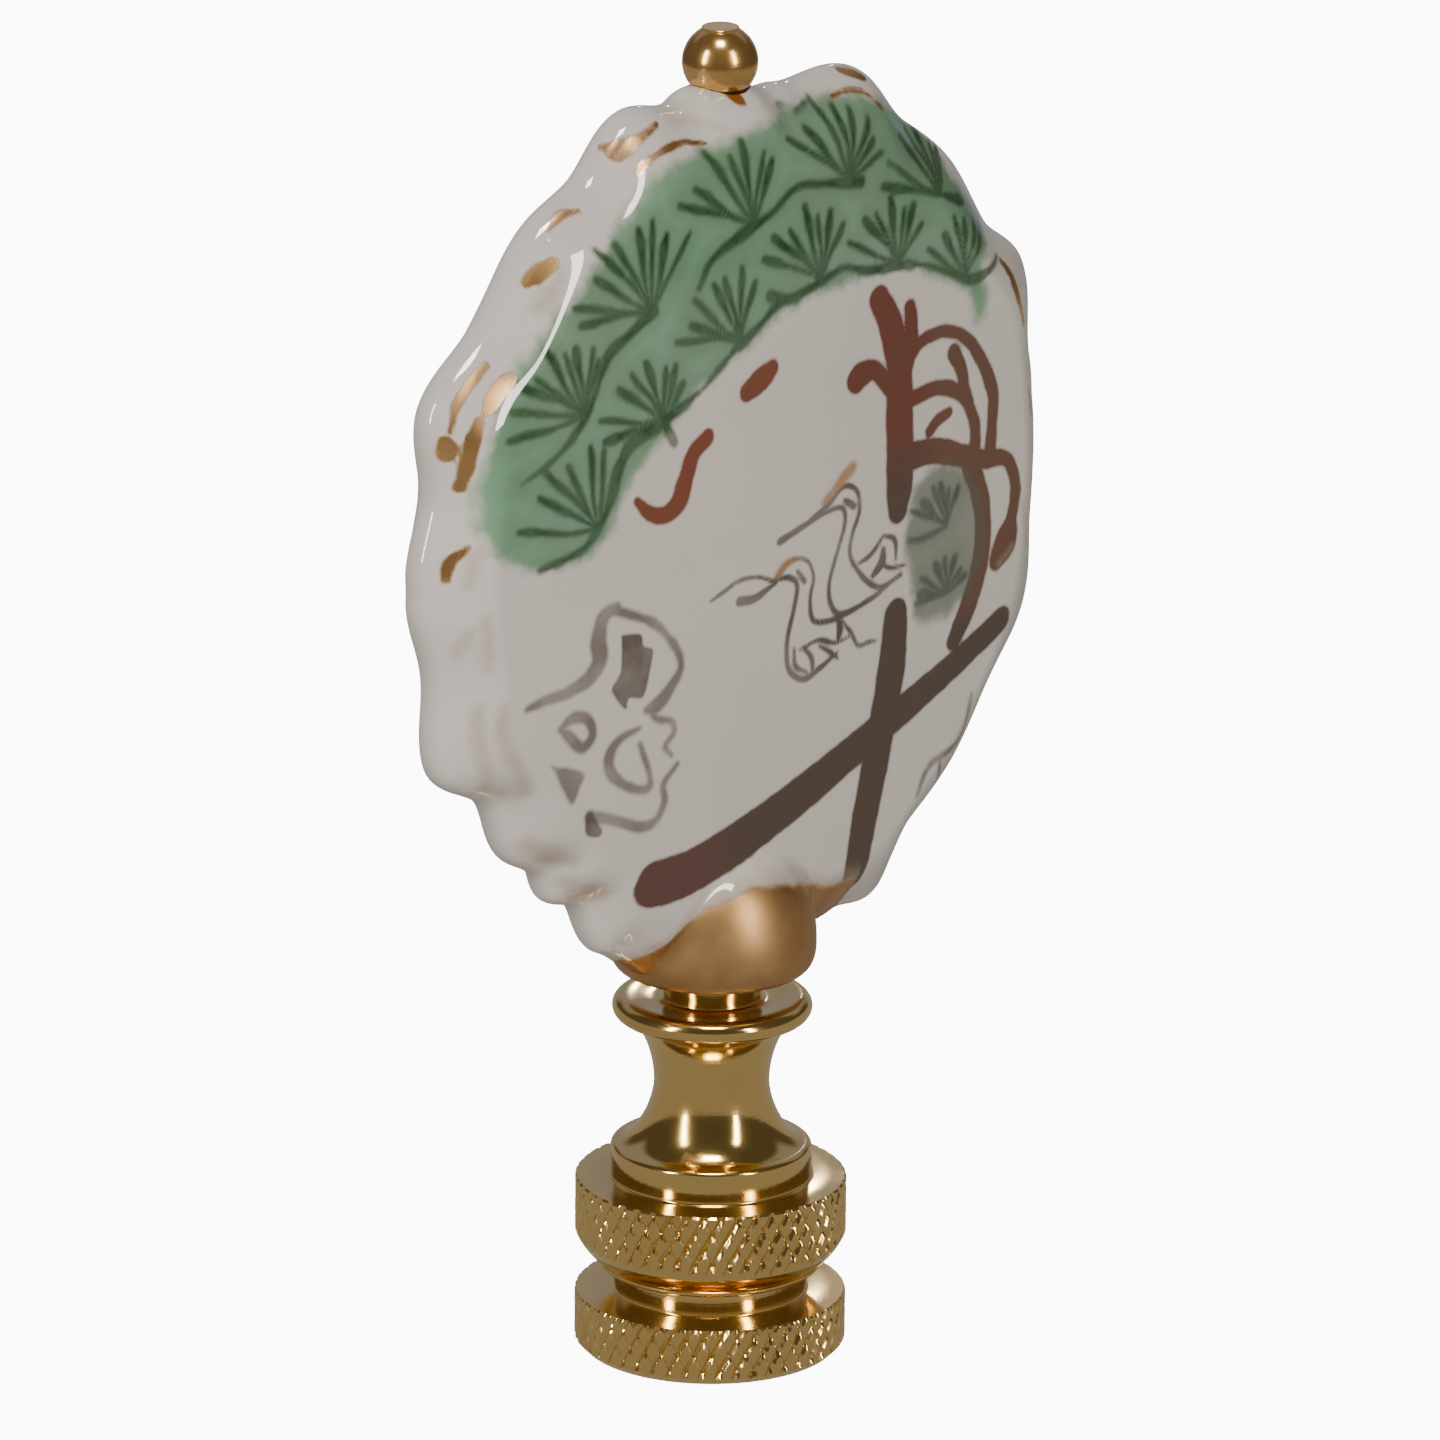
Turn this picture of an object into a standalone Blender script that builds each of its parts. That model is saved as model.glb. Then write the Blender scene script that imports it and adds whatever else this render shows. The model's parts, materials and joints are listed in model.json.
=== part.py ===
"""A lamp finial at its real size: a scalloped porcelain medallion, its round foot moulded in
one with it, on a turned and knurled brass base, with a small brass ball on top.

The origin is on the axis at the underside of the base, +Z is up, and the medallion's painted
face looks towards -Y. The sizes below are in millimetres.
"""

import bmesh
import bpy
from math import asin, atan2, cos, degrees, exp, pi, radians, sin, sqrt, tan

MM = 0.001
CLEARANCE = 0.3                     # gap round and under whatever sits in another piece

# Brass base, from its underside up to the spindle that carries the medallion
THREAD_R = 2.95                     # tapped hole, modelled plain at its mean radius
THREAD_DEPTH = 8.0
RING_R = 6.35                       # both knurled rings
LOWER_RING_HEIGHT = 2.74
BOTTOM_CHAMFER = 0.4
RING_EDGE = 0.09                    # turned-off edge at the top of a ring
UNDERCUT_R = 4.5                    # waist between the rings, and the collar above them
RING_GAP = 1.56
LIP_PROUD = 0.37                    # bead round the waist between the rings
LIP_HEIGHT = 0.28
LIP_PLACE = 0.6                     # how far up the waist the bead sits, as a share
UPPER_RING_HEIGHT = 4.05
UNDERSIDE_SLOPE = 1.3               # cone under the upper ring, out and up
COLLAR_HEIGHT = 0.95
RIM_PROUD = 0.22                    # rim of the shoulder beyond the collar
RIM_HEIGHT = 0.48
SHOULDER_ROUND = 0.3
SHOULDER_RISE = 0.22
NECK_R = 2.7
COVE_HEIGHT = 2.98                  # from the shoulder up to the narrowest neck
COVE_CURVE = 1.65                   # 2 is a round hollow, less is a flatter one
FLARE_HEIGHT = 3.15                 # from there up to the flange
FLARE_CURVE = 1.8
FLANGE_R = 4.68
FLANGE_THICKNESS = 1.08
SAUCER_DROP = 0.16                  # the flange's top dips towards the spindle
SPINDLE_R = 2.28
SPINDLE_SHOWN = 1.7                 # between the flange and the foot
SPINDLE_IN_FOOT = 1.6

# Diamond knurl cut into both rings
KNURL_COUNT = 48                    # diamonds round a ring
KNURL_DEPTH = 0.22
KNURL_ANGLE = 29.0                  # of the grooves, in degrees from the axis

# Porcelain medallion
FOOT_R = 5.0
FOOT_ROUND = 0.55
FOOT_WALL = 1.8                     # straight part of the foot
FOOT_DOME = 4.5                     # height in which the foot fades into the disc
FOOT_DROP = 1.75                    # how far the foot reaches below the disc's own edge
FOOT_BLEND = 0.8
DISC_R = 20.8
EDGE_THICKNESS = 2.4
EDGE_ROUNDING = 0.5                 # depth of the rounded edge, as a share of half of that
BORDER_WIDTH = 3.2                  # scalloped slope between the edge and the raised face
RIDGE_THICKNESS = 5.2               # where that slope meets the face
CROWN_THICKNESS = 6.8               # in the middle of the face
BOSS_THICKNESS = 1.5                # extra, where the edge carries the ball
BOSS_SPREAD = 9.0                   # degrees round the edge

# Crests and notches of the scalloped edge: degrees from +X towards +Z, and share of DISC_R
SCALLOPS = (
    (7, 1.000), (13, 1.004), (27, 1.058), (35, 1.000), (49, 1.034), (56, 1.019),
    (68, 1.082), (89, 1.010), (105, 1.082), (117, 1.010), (124, 1.024), (136, 0.990),
    (151, 1.038), (166, 0.956), (172, 0.962), (188, 0.912), (201, 0.962), (213, 0.875),
    (221, 0.904), (228, 0.880), (233, 0.913), (237, 0.894), (246, 0.952), (270, 0.913),
    (291, 1.067), (306, 1.000), (318, 1.017), (327, 1.005), (340, 1.036), (354, 0.998),
)
BALL_NOTCH = 89                     # the crest or notch that the ball stands over
FOOT_NOTCH = 270                    # the one over the foot

# Brass ball
BALL_R = 1.76
BALL_NECK_R = 1.2
BALL_NECK_SHOWN = 0.4
BALL_SOCKET_DEPTH = 0.6
BALL_FLAT_R = 0.87
BALL_FLAT_PROUD = 0.2               # short cylinder under the flat on top of the ball

# Facets
TURNED_SIDES = 48
BALL_SIDES = 32
CURVE_STEPS = 4
EDGE_STEP = 5.5                     # degrees between points of the scalloped edge
BORDER_STATIONS = (0.0, 0.04, 0.14, 0.36, 0.66, 1.06)   # from the edge in, in border widths
FACE_STATIONS = (0.86, 0.7, 0.42)   # from there to the centre, as shares of what is left
UNDERSIDE_STATIONS = (0.0, 0.3, 0.6, 0.8)               # from under the foot out to its wall
FOOT_STATIONS = (0.0, 0.08, 0.26, 0.6, 1.0)             # up the foot's wall
LEAST_STEP = 1.0                    # degrees between the foot's wall and the next point
CUTTER_RUN = 1.0                    # how far a socket's cutter runs out past the surface


def new_object(name, bm, material, location=(0, 0, 0)):
    mesh = bpy.data.meshes.new(name)
    bm.to_mesh(mesh)
    bm.free()
    mesh.shade_smooth()
    mesh.set_sharp_from_angle(angle=radians(32))
    obj = bpy.data.objects.new(name, mesh)
    obj.location = [value * MM for value in location]
    bpy.context.collection.objects.link(obj)
    if material:
        mesh.materials.append(material)
    return obj


def finish(name, colour, roughness, metallic):
    material = bpy.data.materials.new(name)
    material.use_nodes = True
    shader = material.node_tree.nodes["Principled BSDF"]
    shader.inputs["Base Color"].default_value = (*colour, 1)
    shader.inputs["Roughness"].default_value = roughness
    shader.inputs["Metallic"].default_value = metallic
    return material


# Turned pieces

def quarter_round(start, end, level_first):
    """A quarter ellipse between two (radius, height) points, level at its start or its end."""
    points = []
    for i in range(CURVE_STEPS + 1):
        slow, fast = 1 - cos(pi / 2 * i / CURVE_STEPS), sin(pi / 2 * i / CURVE_STEPS)
        across, along = (fast, slow) if level_first else (slow, fast)
        points.append((start[0] + (end[0] - start[0]) * across,
                       start[1] + (end[1] - start[1]) * along))
    return points


def flare(neck, end, power):
    """A hollow curve that leaves the neck along the axis and spreads to its end."""
    points = []
    for i in range(CURVE_STEPS + 1):
        turn = pi / 2 * i / CURVE_STEPS
        spread, rise = 1 - cos(turn) ** (2 / power), sin(turn) ** (2 / power)
        points.append((neck[0] + (end[0] - neck[0]) * spread,
                       neck[1] + (end[1] - neck[1]) * rise))
    return points


def plain_ring(radius, height, sides=TURNED_SIDES):
    return [(radius, height)] * sides


def knurled_rings(bottom, top):
    """Rings whose points stand high and low by turns, so that their facets make diamonds."""
    half_diamond = pi * RING_R / KNURL_COUNT / tan(radians(KNURL_ANGLE))
    rows = max(2, round((top - bottom) / half_diamond))
    levels = (RING_R, RING_R - KNURL_DEPTH)
    return [[(levels[(side + row) % 2], bottom + (top - bottom) * row / rows)
             for side in range(2 * KNURL_COUNT)] for row in range(rows + 1)]


def skin(bm, below, above):
    """Faces between two rings of vertices. One ring may have twice the points of the other."""
    for i in range(min(len(below), len(above))):
        if len(below) == len(above):
            j = (i + 1) % len(below)
            lean = (below[i].co.xy.length + above[j].co.xy.length
                    - below[j].co.xy.length - above[i].co.xy.length)
            if abs(lean) < KNURL_DEPTH * MM / 4:
                bm.faces.new((below[i], below[j], above[j], above[i]))
            elif lean < 0:
                bm.faces.new((below[i], below[j], above[j]))
                bm.faces.new((below[i], above[j], above[i]))
            else:
                bm.faces.new((below[i], below[j], above[i]))
                bm.faces.new((below[j], above[j], above[i]))
        elif len(below) > len(above):
            first, middle, last = (below[(2 * i + k) % len(below)] for k in range(3))
            j = (i + 1) % len(above)
            bm.faces.new((first, middle, above[i]))
            bm.faces.new((middle, above[j], above[i]))
            bm.faces.new((middle, last, above[j]))
        else:
            first, middle, last = (above[(2 * i + k) % len(above)] for k in range(3))
            j = (i + 1) % len(below)
            bm.faces.new((below[i], middle, first))
            bm.faces.new((below[i], below[j], middle))
            bm.faces.new((below[j], last, middle))


def turned(rings):
    """A closed body from rings that run up its outer side, each a list of (radius, height)."""
    bm = bmesh.new()
    loops = []
    for ring in rings:
        step = 2 * pi / len(ring)
        loops.append([bm.verts.new((radius * MM * cos(step * i), radius * MM * sin(step * i),
                                    height * MM)) for i, (radius, height) in enumerate(ring)])
    for below, above in zip(loops, loops[1:]):
        skin(bm, below, above)
    bm.faces.new(reversed(loops[0]))
    bm.faces.new(loops[-1])
    return bm


def base_heights():
    """Heights of the base's features, each stacked on the one below it."""
    z = {"lower ring": LOWER_RING_HEIGHT}
    z["upper ring"] = z["lower ring"] + RING_GAP
    z["collar"] = z["upper ring"] + UPPER_RING_HEIGHT
    z["rim"] = z["collar"] + COLLAR_HEIGHT
    z["shoulder"] = z["rim"] + RIM_HEIGHT
    z["cove"] = z["shoulder"] + SHOULDER_RISE
    z["neck"] = z["cove"] + COVE_HEIGHT
    z["flange"] = z["neck"] + FLARE_HEIGHT
    z["flange top"] = z["flange"] + FLANGE_THICKNESS
    z["foot"] = z["flange top"] - SAUCER_DROP + SPINDLE_SHOWN
    return z


def brass_base(material):
    """The screw-on base: two knurled rings, a collar, a coved neck, a flange and a spindle."""
    z = base_heights()
    knurl_side = 2 * KNURL_COUNT
    rings = [plain_ring(THREAD_R, THREAD_DEPTH), plain_ring(THREAD_R, 0),
             plain_ring(RING_R - BOTTOM_CHAMFER, 0, knurl_side)]
    rings += knurled_rings(BOTTOM_CHAMFER, z["lower ring"] - RING_EDGE)
    rings.append(plain_ring(RING_R - KNURL_DEPTH / 2 - RING_EDGE, z["lower ring"], knurl_side))

    waist_middle = z["lower ring"] + RING_GAP * LIP_PLACE
    outline = [(UNDERCUT_R, z["lower ring"]),
               (UNDERCUT_R, waist_middle - LIP_HEIGHT),
               (UNDERCUT_R + LIP_PROUD, waist_middle),
               (UNDERCUT_R + LIP_PROUD / 3, waist_middle + LIP_HEIGHT),
               (RING_R - UNDERSIDE_SLOPE, z["upper ring"])]
    rings += [plain_ring(*point) for point in outline]
    rings += knurled_rings(z["upper ring"] + UNDERSIDE_SLOPE, z["collar"] - RING_EDGE)
    rings.append(plain_ring(RING_R - KNURL_DEPTH / 2 - RING_EDGE, z["collar"], knurl_side))

    rim_r = UNDERCUT_R + RIM_PROUD
    round_end = (rim_r - SHOULDER_ROUND, z["cove"])
    cove = flare((NECK_R, z["neck"]), round_end, COVE_CURVE)
    edge = FLANGE_THICKNESS / 2
    outline = [(UNDERCUT_R, z["collar"]), (UNDERCUT_R, z["rim"]),
               (rim_r, z["rim"] + RIM_HEIGHT / 2)]
    outline += quarter_round((rim_r, z["shoulder"]), round_end, False)
    outline += cove[-2::-1]
    outline += flare((NECK_R, z["neck"]), (FLANGE_R - edge, z["flange"]), FLARE_CURVE)[1:]
    outline += quarter_round((FLANGE_R - edge, z["flange"]),
                             (FLANGE_R, z["flange"] + edge), True)[1:]
    outline += quarter_round((FLANGE_R, z["flange"] + edge),
                             (FLANGE_R - edge, z["flange top"]), False)[1:]
    outline += [(SPINDLE_R + edge / 2, z["flange top"] - SAUCER_DROP),
                (SPINDLE_R, z["flange top"]), (SPINDLE_R, z["foot"] + SPINDLE_IN_FOOT)]
    rings += [plain_ring(*point) for point in outline]
    return new_object("brass_base", turned(rings), material)


def ball_cap(material, seat):
    """The brass ball, with its short neck in the porcelain and a small flat on top."""
    neck_bottom = seat + CLEARANCE
    neck_top = seat + BALL_SOCKET_DEPTH + BALL_NECK_SHOWN
    centre = neck_top + sqrt(BALL_R ** 2 - BALL_NECK_R ** 2)
    low = -asin(sqrt(1 - (BALL_NECK_R / BALL_R) ** 2))
    high = asin(sqrt(1 - (BALL_FLAT_R / BALL_R) ** 2))
    steps = 2 * CURVE_STEPS
    outline = [(BALL_NECK_R, neck_bottom - centre)]
    for i in range(steps + 1):
        angle = low + (high - low) * i / steps
        outline.append((BALL_R * cos(angle), BALL_R * sin(angle)))
    outline.append((BALL_FLAT_R, BALL_R * sin(high) + BALL_FLAT_PROUD))
    rings = [plain_ring(*point, BALL_SIDES) for point in outline]
    return new_object("ball_cap", turned(rings), material, (0, 0, centre))


# Porcelain medallion, about the disc's own centre

def disc_edge(angle):
    """Radius of the scalloped edge, eased between the crests and notches around the angle."""
    angle %= 360
    stops = ((SCALLOPS[-1][0] - 360, SCALLOPS[-1][1]), *SCALLOPS,
             (SCALLOPS[0][0] + 360, SCALLOPS[0][1]))
    for (start, low), (end, high) in zip(stops, stops[1:]):
        if start <= angle <= end:
            ease = 0.5 - 0.5 * cos(pi * (angle - start) / (end - start))
            return DISC_R * (low + (high - low) * ease)


def foot_bottom():
    """Height of the foot's underside from the disc's centre."""
    return -disc_edge(FOOT_NOTCH) - FOOT_DROP


def foot_radius(z):
    """Radius of the foot at a height: rounded below, straight, then fading into the disc."""
    above = z - foot_bottom()
    if above < FOOT_ROUND:
        return FOOT_R - FOOT_ROUND + sqrt(max(0, FOOT_ROUND ** 2 - (FOOT_ROUND - above) ** 2))
    fade = max(0, above - FOOT_ROUND - FOOT_WALL) / FOOT_DOME
    return FOOT_R * sqrt(max(0, 1 - fade ** 2))


def outer_edge(angle):
    """Radius of the whole outline, the disc's or the foot's, whichever reaches further."""
    across, down = abs(cos(radians(angle))), -sin(radians(angle))
    if down < 0.5:
        return disc_edge(angle)
    reach = -foot_bottom() / down
    if reach * across > FOOT_R - FOOT_ROUND:
        low, high = 0.0, FOOT_R / across
        for _ in range(40):
            middle = (low + high) / 2
            inside = middle * across < foot_radius(-middle * down)
            low, high = (middle, high) if inside else (low, middle)
        reach = low
    return max(disc_edge(angle), reach)


def half_thickness(angle, radius):
    """Half of the medallion's thickness at a point of the disc or of its foot."""
    edge = disc_edge(angle)
    inward = edge - radius
    off_ball = (angle - BALL_NOTCH) / BOSS_SPREAD
    boss = BOSS_THICKNESS / 2 * exp(-off_ball ** 2)
    rim = EDGE_THICKNESS / 2 + boss
    rounding = rim * EDGE_ROUNDING
    ridge = RIDGE_THICKNESS / 2
    thickness = 0.0
    if inward > 0:
        if inward < BORDER_WIDTH:
            thickness = sqrt(rim ** 2 - (rim - min(inward, rounding)) ** 2)
            slope = max(0, inward - rounding) / (BORDER_WIDTH - rounding)
            thickness += (ridge - thickness) * sin(pi / 2 * slope)
        else:
            middle = 1 - radius / (edge - BORDER_WIDTH)
            rise = 1 - (1 - middle) ** 2
            thickness = ridge + (CROWN_THICKNESS / 2 - ridge) * rise
    x, z = radius * cos(radians(angle)), radius * sin(radians(angle))
    foot = sqrt(max(0, foot_radius(z) ** 2 - x ** 2)) if z < 0 else 0
    if foot == 0:
        return thickness
    mix = min(1, max(0, 0.5 + 0.5 * (foot - thickness) / FOOT_BLEND))
    return thickness + (foot - thickness) * mix + FOOT_BLEND * mix * (1 - mix) * min(1, thickness)


def edge_angles():
    """Angles that meet each crest and notch, and the underside and wall of the foot."""
    wall = []
    for share in FOOT_STATIONS:
        z = foot_bottom() + share * (FOOT_ROUND + FOOT_WALL)
        wall.append(degrees(atan2(foot_radius(z), -z)))
    foot = [wall[0] * share for share in UNDERSIDE_STATIONS] + wall
    angles = {FOOT_NOTCH + side * turn for turn in foot for side in (-1, 1)}
    ends = [stop[0] for stop in SCALLOPS] + [SCALLOPS[0][0] + 360]
    for start, end in zip(ends, ends[1:]):
        steps = max(2, round((end - start) / EDGE_STEP))
        for i in range(steps):
            angle = start + (end - start) * i / steps
            if abs(angle - FOOT_NOTCH) > wall[-1] + LEAST_STEP:
                angles.add(angle)
    return sorted(angles)


def porcelain_medallion(material, centre):
    """The moulded disc and foot, with sockets below for the spindle and above for the ball."""
    bm = bmesh.new()
    angles = edge_angles()
    radii = []
    for share in BORDER_STATIONS:
        radii.append([outer_edge(angle) - share * BORDER_WIDTH for angle in angles])
    for share in FACE_STATIONS:
        radii.append([radius * share for radius in radii[len(BORDER_STATIONS) - 1]])
    outer_rings = {}
    for side in (-1, 1):
        rings = []
        for row in radii:
            ring = []
            for angle, radius in zip(angles, row):
                depth = side * half_thickness(angle, radius)
                ring.append(bm.verts.new((radius * MM * cos(radians(angle)), depth * MM,
                                          radius * MM * sin(radians(angle)))))
            rings.append(ring)
        hub = bm.verts.new((0, side * half_thickness(0, 0) * MM, 0))
        outer_rings[side] = rings[0]
        for outside, inside in zip(rings, rings[1:]):
            for i in range(len(angles)):
                j = (i + 1) % len(angles)
                bm.faces.new((outside[i], outside[j], inside[j], inside[i]))
        for i in range(len(angles)):
            bm.faces.new((rings[-1][i], rings[-1][(i + 1) % len(angles)], hub))
    front, back = outer_rings[-1], outer_rings[1]
    for i in range(len(angles)):
        j = (i + 1) % len(angles)
        bm.faces.new((front[i], front[j], back[j], back[i]))
    bmesh.ops.remove_doubles(bm, verts=bm.verts, dist=1e-6)
    bmesh.ops.dissolve_degenerate(bm, edges=bm.edges, dist=1e-7)
    bmesh.ops.recalc_face_normals(bm, faces=bm.faces)
    medallion = new_object("porcelain_medallion", bm, material, (0, 0, centre))

    socket_floor = foot_bottom() + SPINDLE_IN_FOOT + CLEARANCE
    cut(medallion, "spindle_socket", SPINDLE_R + CLEARANCE,
        foot_bottom() - CUTTER_RUN, socket_floor)
    seat = disc_edge(BALL_NOTCH) - BALL_SOCKET_DEPTH
    cut(medallion, "ball_socket", BALL_NECK_R + CLEARANCE,
        seat, seat + BALL_SOCKET_DEPTH + CUTTER_RUN)
    return medallion


def cut(target, name, radius, bottom, top):
    """Bore an upright round hole into a piece, between two heights from its own centre."""
    cutter = new_object(name, turned([plain_ring(radius, bottom, BALL_SIDES),
                                      plain_ring(radius, top, BALL_SIDES)]), None)
    cutter.location = target.location
    cutter.hide_render = True
    cutter.display_type = "WIRE"
    hole = target.modifiers.new(name, "BOOLEAN")
    hole.operation = "DIFFERENCE"
    hole.solver = "EXACT"
    hole.object = cutter


for leftover in list(bpy.data.objects):
    bpy.data.objects.remove(leftover, do_unlink=True)

brass = finish("polished_brass", (0.66, 0.46, 0.17), 0.2, 1.0)
porcelain = finish("glazed_porcelain", (0.74, 0.70, 0.66), 0.15, 0.0)
disc_centre = base_heights()["foot"] - foot_bottom()
ball_seat = disc_centre + disc_edge(BALL_NOTCH) - BALL_SOCKET_DEPTH

finial = bpy.data.objects.new("finial", None)
bpy.context.collection.objects.link(finial)
for piece in (brass_base(brass), porcelain_medallion(porcelain, disc_centre),
              ball_cap(brass, ball_seat)):
    piece.parent = finial
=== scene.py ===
"""A lamp finial with a painted porcelain medallion on a knurled brass base, as it looks."""

import json
from math import asin, cos, hypot, pi, radians, sin, sqrt, tan

import bmesh
import bpy
import numpy as np
from mathutils import Matrix, Vector

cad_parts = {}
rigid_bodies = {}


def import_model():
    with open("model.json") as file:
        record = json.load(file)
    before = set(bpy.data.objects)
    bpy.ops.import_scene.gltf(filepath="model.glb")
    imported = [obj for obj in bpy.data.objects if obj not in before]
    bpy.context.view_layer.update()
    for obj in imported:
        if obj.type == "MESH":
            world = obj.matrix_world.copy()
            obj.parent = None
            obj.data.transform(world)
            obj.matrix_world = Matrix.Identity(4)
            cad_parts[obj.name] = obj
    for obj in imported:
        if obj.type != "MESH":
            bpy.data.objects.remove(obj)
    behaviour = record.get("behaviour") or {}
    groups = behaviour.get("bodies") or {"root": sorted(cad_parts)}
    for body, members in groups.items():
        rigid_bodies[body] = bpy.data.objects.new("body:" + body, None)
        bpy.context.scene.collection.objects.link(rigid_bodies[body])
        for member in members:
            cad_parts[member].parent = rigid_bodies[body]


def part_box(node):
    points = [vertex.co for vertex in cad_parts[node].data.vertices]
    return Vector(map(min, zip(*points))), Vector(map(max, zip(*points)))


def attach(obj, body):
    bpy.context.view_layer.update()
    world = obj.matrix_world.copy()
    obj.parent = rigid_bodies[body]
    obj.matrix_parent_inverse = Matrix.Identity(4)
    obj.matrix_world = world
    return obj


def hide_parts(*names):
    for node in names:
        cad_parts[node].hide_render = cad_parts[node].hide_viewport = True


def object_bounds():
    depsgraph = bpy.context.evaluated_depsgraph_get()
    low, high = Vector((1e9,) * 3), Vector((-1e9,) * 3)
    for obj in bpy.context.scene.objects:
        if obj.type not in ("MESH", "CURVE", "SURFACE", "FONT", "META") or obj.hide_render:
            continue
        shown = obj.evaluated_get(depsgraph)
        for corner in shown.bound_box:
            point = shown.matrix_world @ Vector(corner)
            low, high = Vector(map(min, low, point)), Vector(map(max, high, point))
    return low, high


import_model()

cad_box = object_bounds()


# Table, camera and studio light
#
# The finial stands on white paper, seen a little from above and from its left. Two tall lamps,
# a box overhead and a small lamp behind make the highlights. Soft boxes in front, at the left
# and behind light the porcelain evenly and aren't mirrored.

CAMERA_TURN = -46.0                 # degrees round the finial from straight in front
CAMERA_DISTANCE = 0.7
CAMERA_HEIGHT = 0.2606
CAMERA_PITCH = 18.19
CAMERA_ROLL = 0.48
CAMERA_LENS = 397.95
CAMERA_SHIFT = 0.00375

LAMP_DISTANCE = 0.6
LAMP_COLOUR = (1.0, 0.95, 0.88)
LAMPS = (
    # name, degrees to the right of the camera, up, wide and high, radiance, whether it is mirrored
    ("left_strip", -49, 23, 6, 34, 28.0, True),
    ("right_strip", 46, 22, 7, 35, 20.0, True),
    ("overhead_box", 2, 70, 15, 12, 36.0, True),
    ("back_lamp", 176, 21, 2, 2, 55.0, True),
    ("front_box", 5, 26, 60, 50, 4.9, False),
    ("left_box", -45, 12, 44, 40, 0.9, False),
    ("rear_box", 222, 26, 60, 50, 3.6, False),
)


def studio_direction(turn, rise):
    """A unit vector that points away from the finial, turned from the front and up."""
    turn, rise = radians(turn), radians(rise)
    return Vector((sin(turn) * cos(rise), -cos(turn) * cos(rise), sin(rise)))


camera = bpy.data.objects.new("camera", bpy.data.cameras.new("camera"))
camera.data.lens = CAMERA_LENS
camera.data.shift_x = CAMERA_SHIFT
camera.data.clip_start = 0.01
camera.matrix_world = (
    Matrix.Translation(studio_direction(CAMERA_TURN, 0) * CAMERA_DISTANCE
                       + Vector((0, 0, CAMERA_HEIGHT)))
    @ Matrix.Rotation(radians(CAMERA_TURN), 4, "Z")
    @ Matrix.Rotation(radians(90 - CAMERA_PITCH), 4, "X")
    @ Matrix.Rotation(radians(CAMERA_ROLL), 4, "Z"))
bpy.context.collection.objects.link(camera)
bpy.context.scene.camera = camera

middle = Vector((0, 0, cad_box[1][2] / 2))
for name, turn, rise, wide, high, radiance, mirrored in LAMPS:
    lamp = bpy.data.objects.new(name, bpy.data.lights.new(name, "AREA"))
    lamp.data.shape = "RECTANGLE"
    lamp.data.size = 2 * LAMP_DISTANCE * tan(radians(wide / 2))
    lamp.data.size_y = 2 * LAMP_DISTANCE * tan(radians(high / 2))
    lamp.data.energy = pi * radiance * lamp.data.size * lamp.data.size_y
    lamp.data.color = LAMP_COLOUR
    outward = studio_direction(CAMERA_TURN + turn, rise)
    lamp.location = middle + outward * LAMP_DISTANCE
    lamp.rotation_euler = outward.to_track_quat("Z", "Y").to_euler()
    lamp.visible_glossy = mirrored
    lamp.visible_diffuse = not mirrored
    bpy.context.collection.objects.link(lamp)

# The room that the brass mirrors: paper below, a dark room in front, and a pale wall behind
ROOM_DARK = (0.085, 0.075, 0.06)
ROOM_WALL = (0.27, 0.28, 0.33)
ROOM_PAPER = (0.31, 0.295, 0.27)
WALL_STARTS = (-0.92, -0.78)        # cosines, measured from the camera's side
SIDE_STARTS = (-0.55, -0.35)        # the same for the room's upper half, which is pale at the sides
SIDE_HEIGHTS = (0.33, 0.5)          # sines of the angle above the horizon
PAPER_ENDS = (-0.29, -0.23)         # sines of the angle below the horizon

# The paper: the table, all that stands round it, and a lip that turns up just below the picture
PAPER_WHITE = (1, 1, 1)
PAPER_RADIUS = 4.0
PAPER_GLOW = 10.0
PAPER_SHADE = 0.9
PAPER_DROP = 0.0001                 # how far it lies below the base
SURROUND_GLOW = 11.5
LIP_DISTANCE = 0.116
LIP_HEIGHT = 0.03                   # the brass mirrors this sheet, and the camera doesn't see it


def between(tree, value, low, high, to_low=0.0, to_high=1.0):
    """The value brought from one range to another, eased and held at its ends."""
    node = tree.nodes.new("ShaderNodeMapRange")
    node.interpolation_type = "SMOOTHSTEP"
    tree.links.new(value, node.inputs["Value"])
    for name, number in (("From Min", low), ("From Max", high),
                         ("To Min", to_low), ("To Max", to_high)):
        node.inputs[name].default_value = number
    return node.outputs["Result"]


def blend(tree, share, first, second):
    """A mix of two colours, each given as a colour or as a socket."""
    node = tree.nodes.new("ShaderNodeMix")
    node.data_type = "RGBA"
    tree.links.new(share, node.inputs["Factor"])
    for name, colour in (("A", first), ("B", second)):
        if isinstance(colour, bpy.types.NodeSocket):
            tree.links.new(colour, node.inputs[name])
        else:
            node.inputs[name].default_value = (*colour, 1)
    return node.outputs["Result"]


def backdrop(name, bm, colour, glow, shade=0.0):
    """A sheet of the studio that glows evenly and isn't mirrored."""
    mesh = bpy.data.meshes.new(name)
    bm.to_mesh(mesh)
    bm.free()
    paper = bpy.data.materials.new(name)
    paper.use_nodes = True
    paper.cycles.emission_sampling = "NONE"
    shader = paper.node_tree.nodes["Principled BSDF"]
    shader.inputs["Base Color"].default_value = (shade, shade, shade, 1)
    shader.inputs["Roughness"].default_value = 1.0
    shader.inputs["Specular IOR Level"].default_value = 0.0
    shader.inputs["Emission Color"].default_value = (*colour, 1)
    shader.inputs["Emission Strength"].default_value = glow
    mesh.materials.append(paper)
    sheet = bpy.data.objects.new(name, mesh)
    sheet.visible_diffuse = False
    sheet.visible_glossy = False
    bpy.context.collection.objects.link(sheet)
    return sheet


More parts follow.
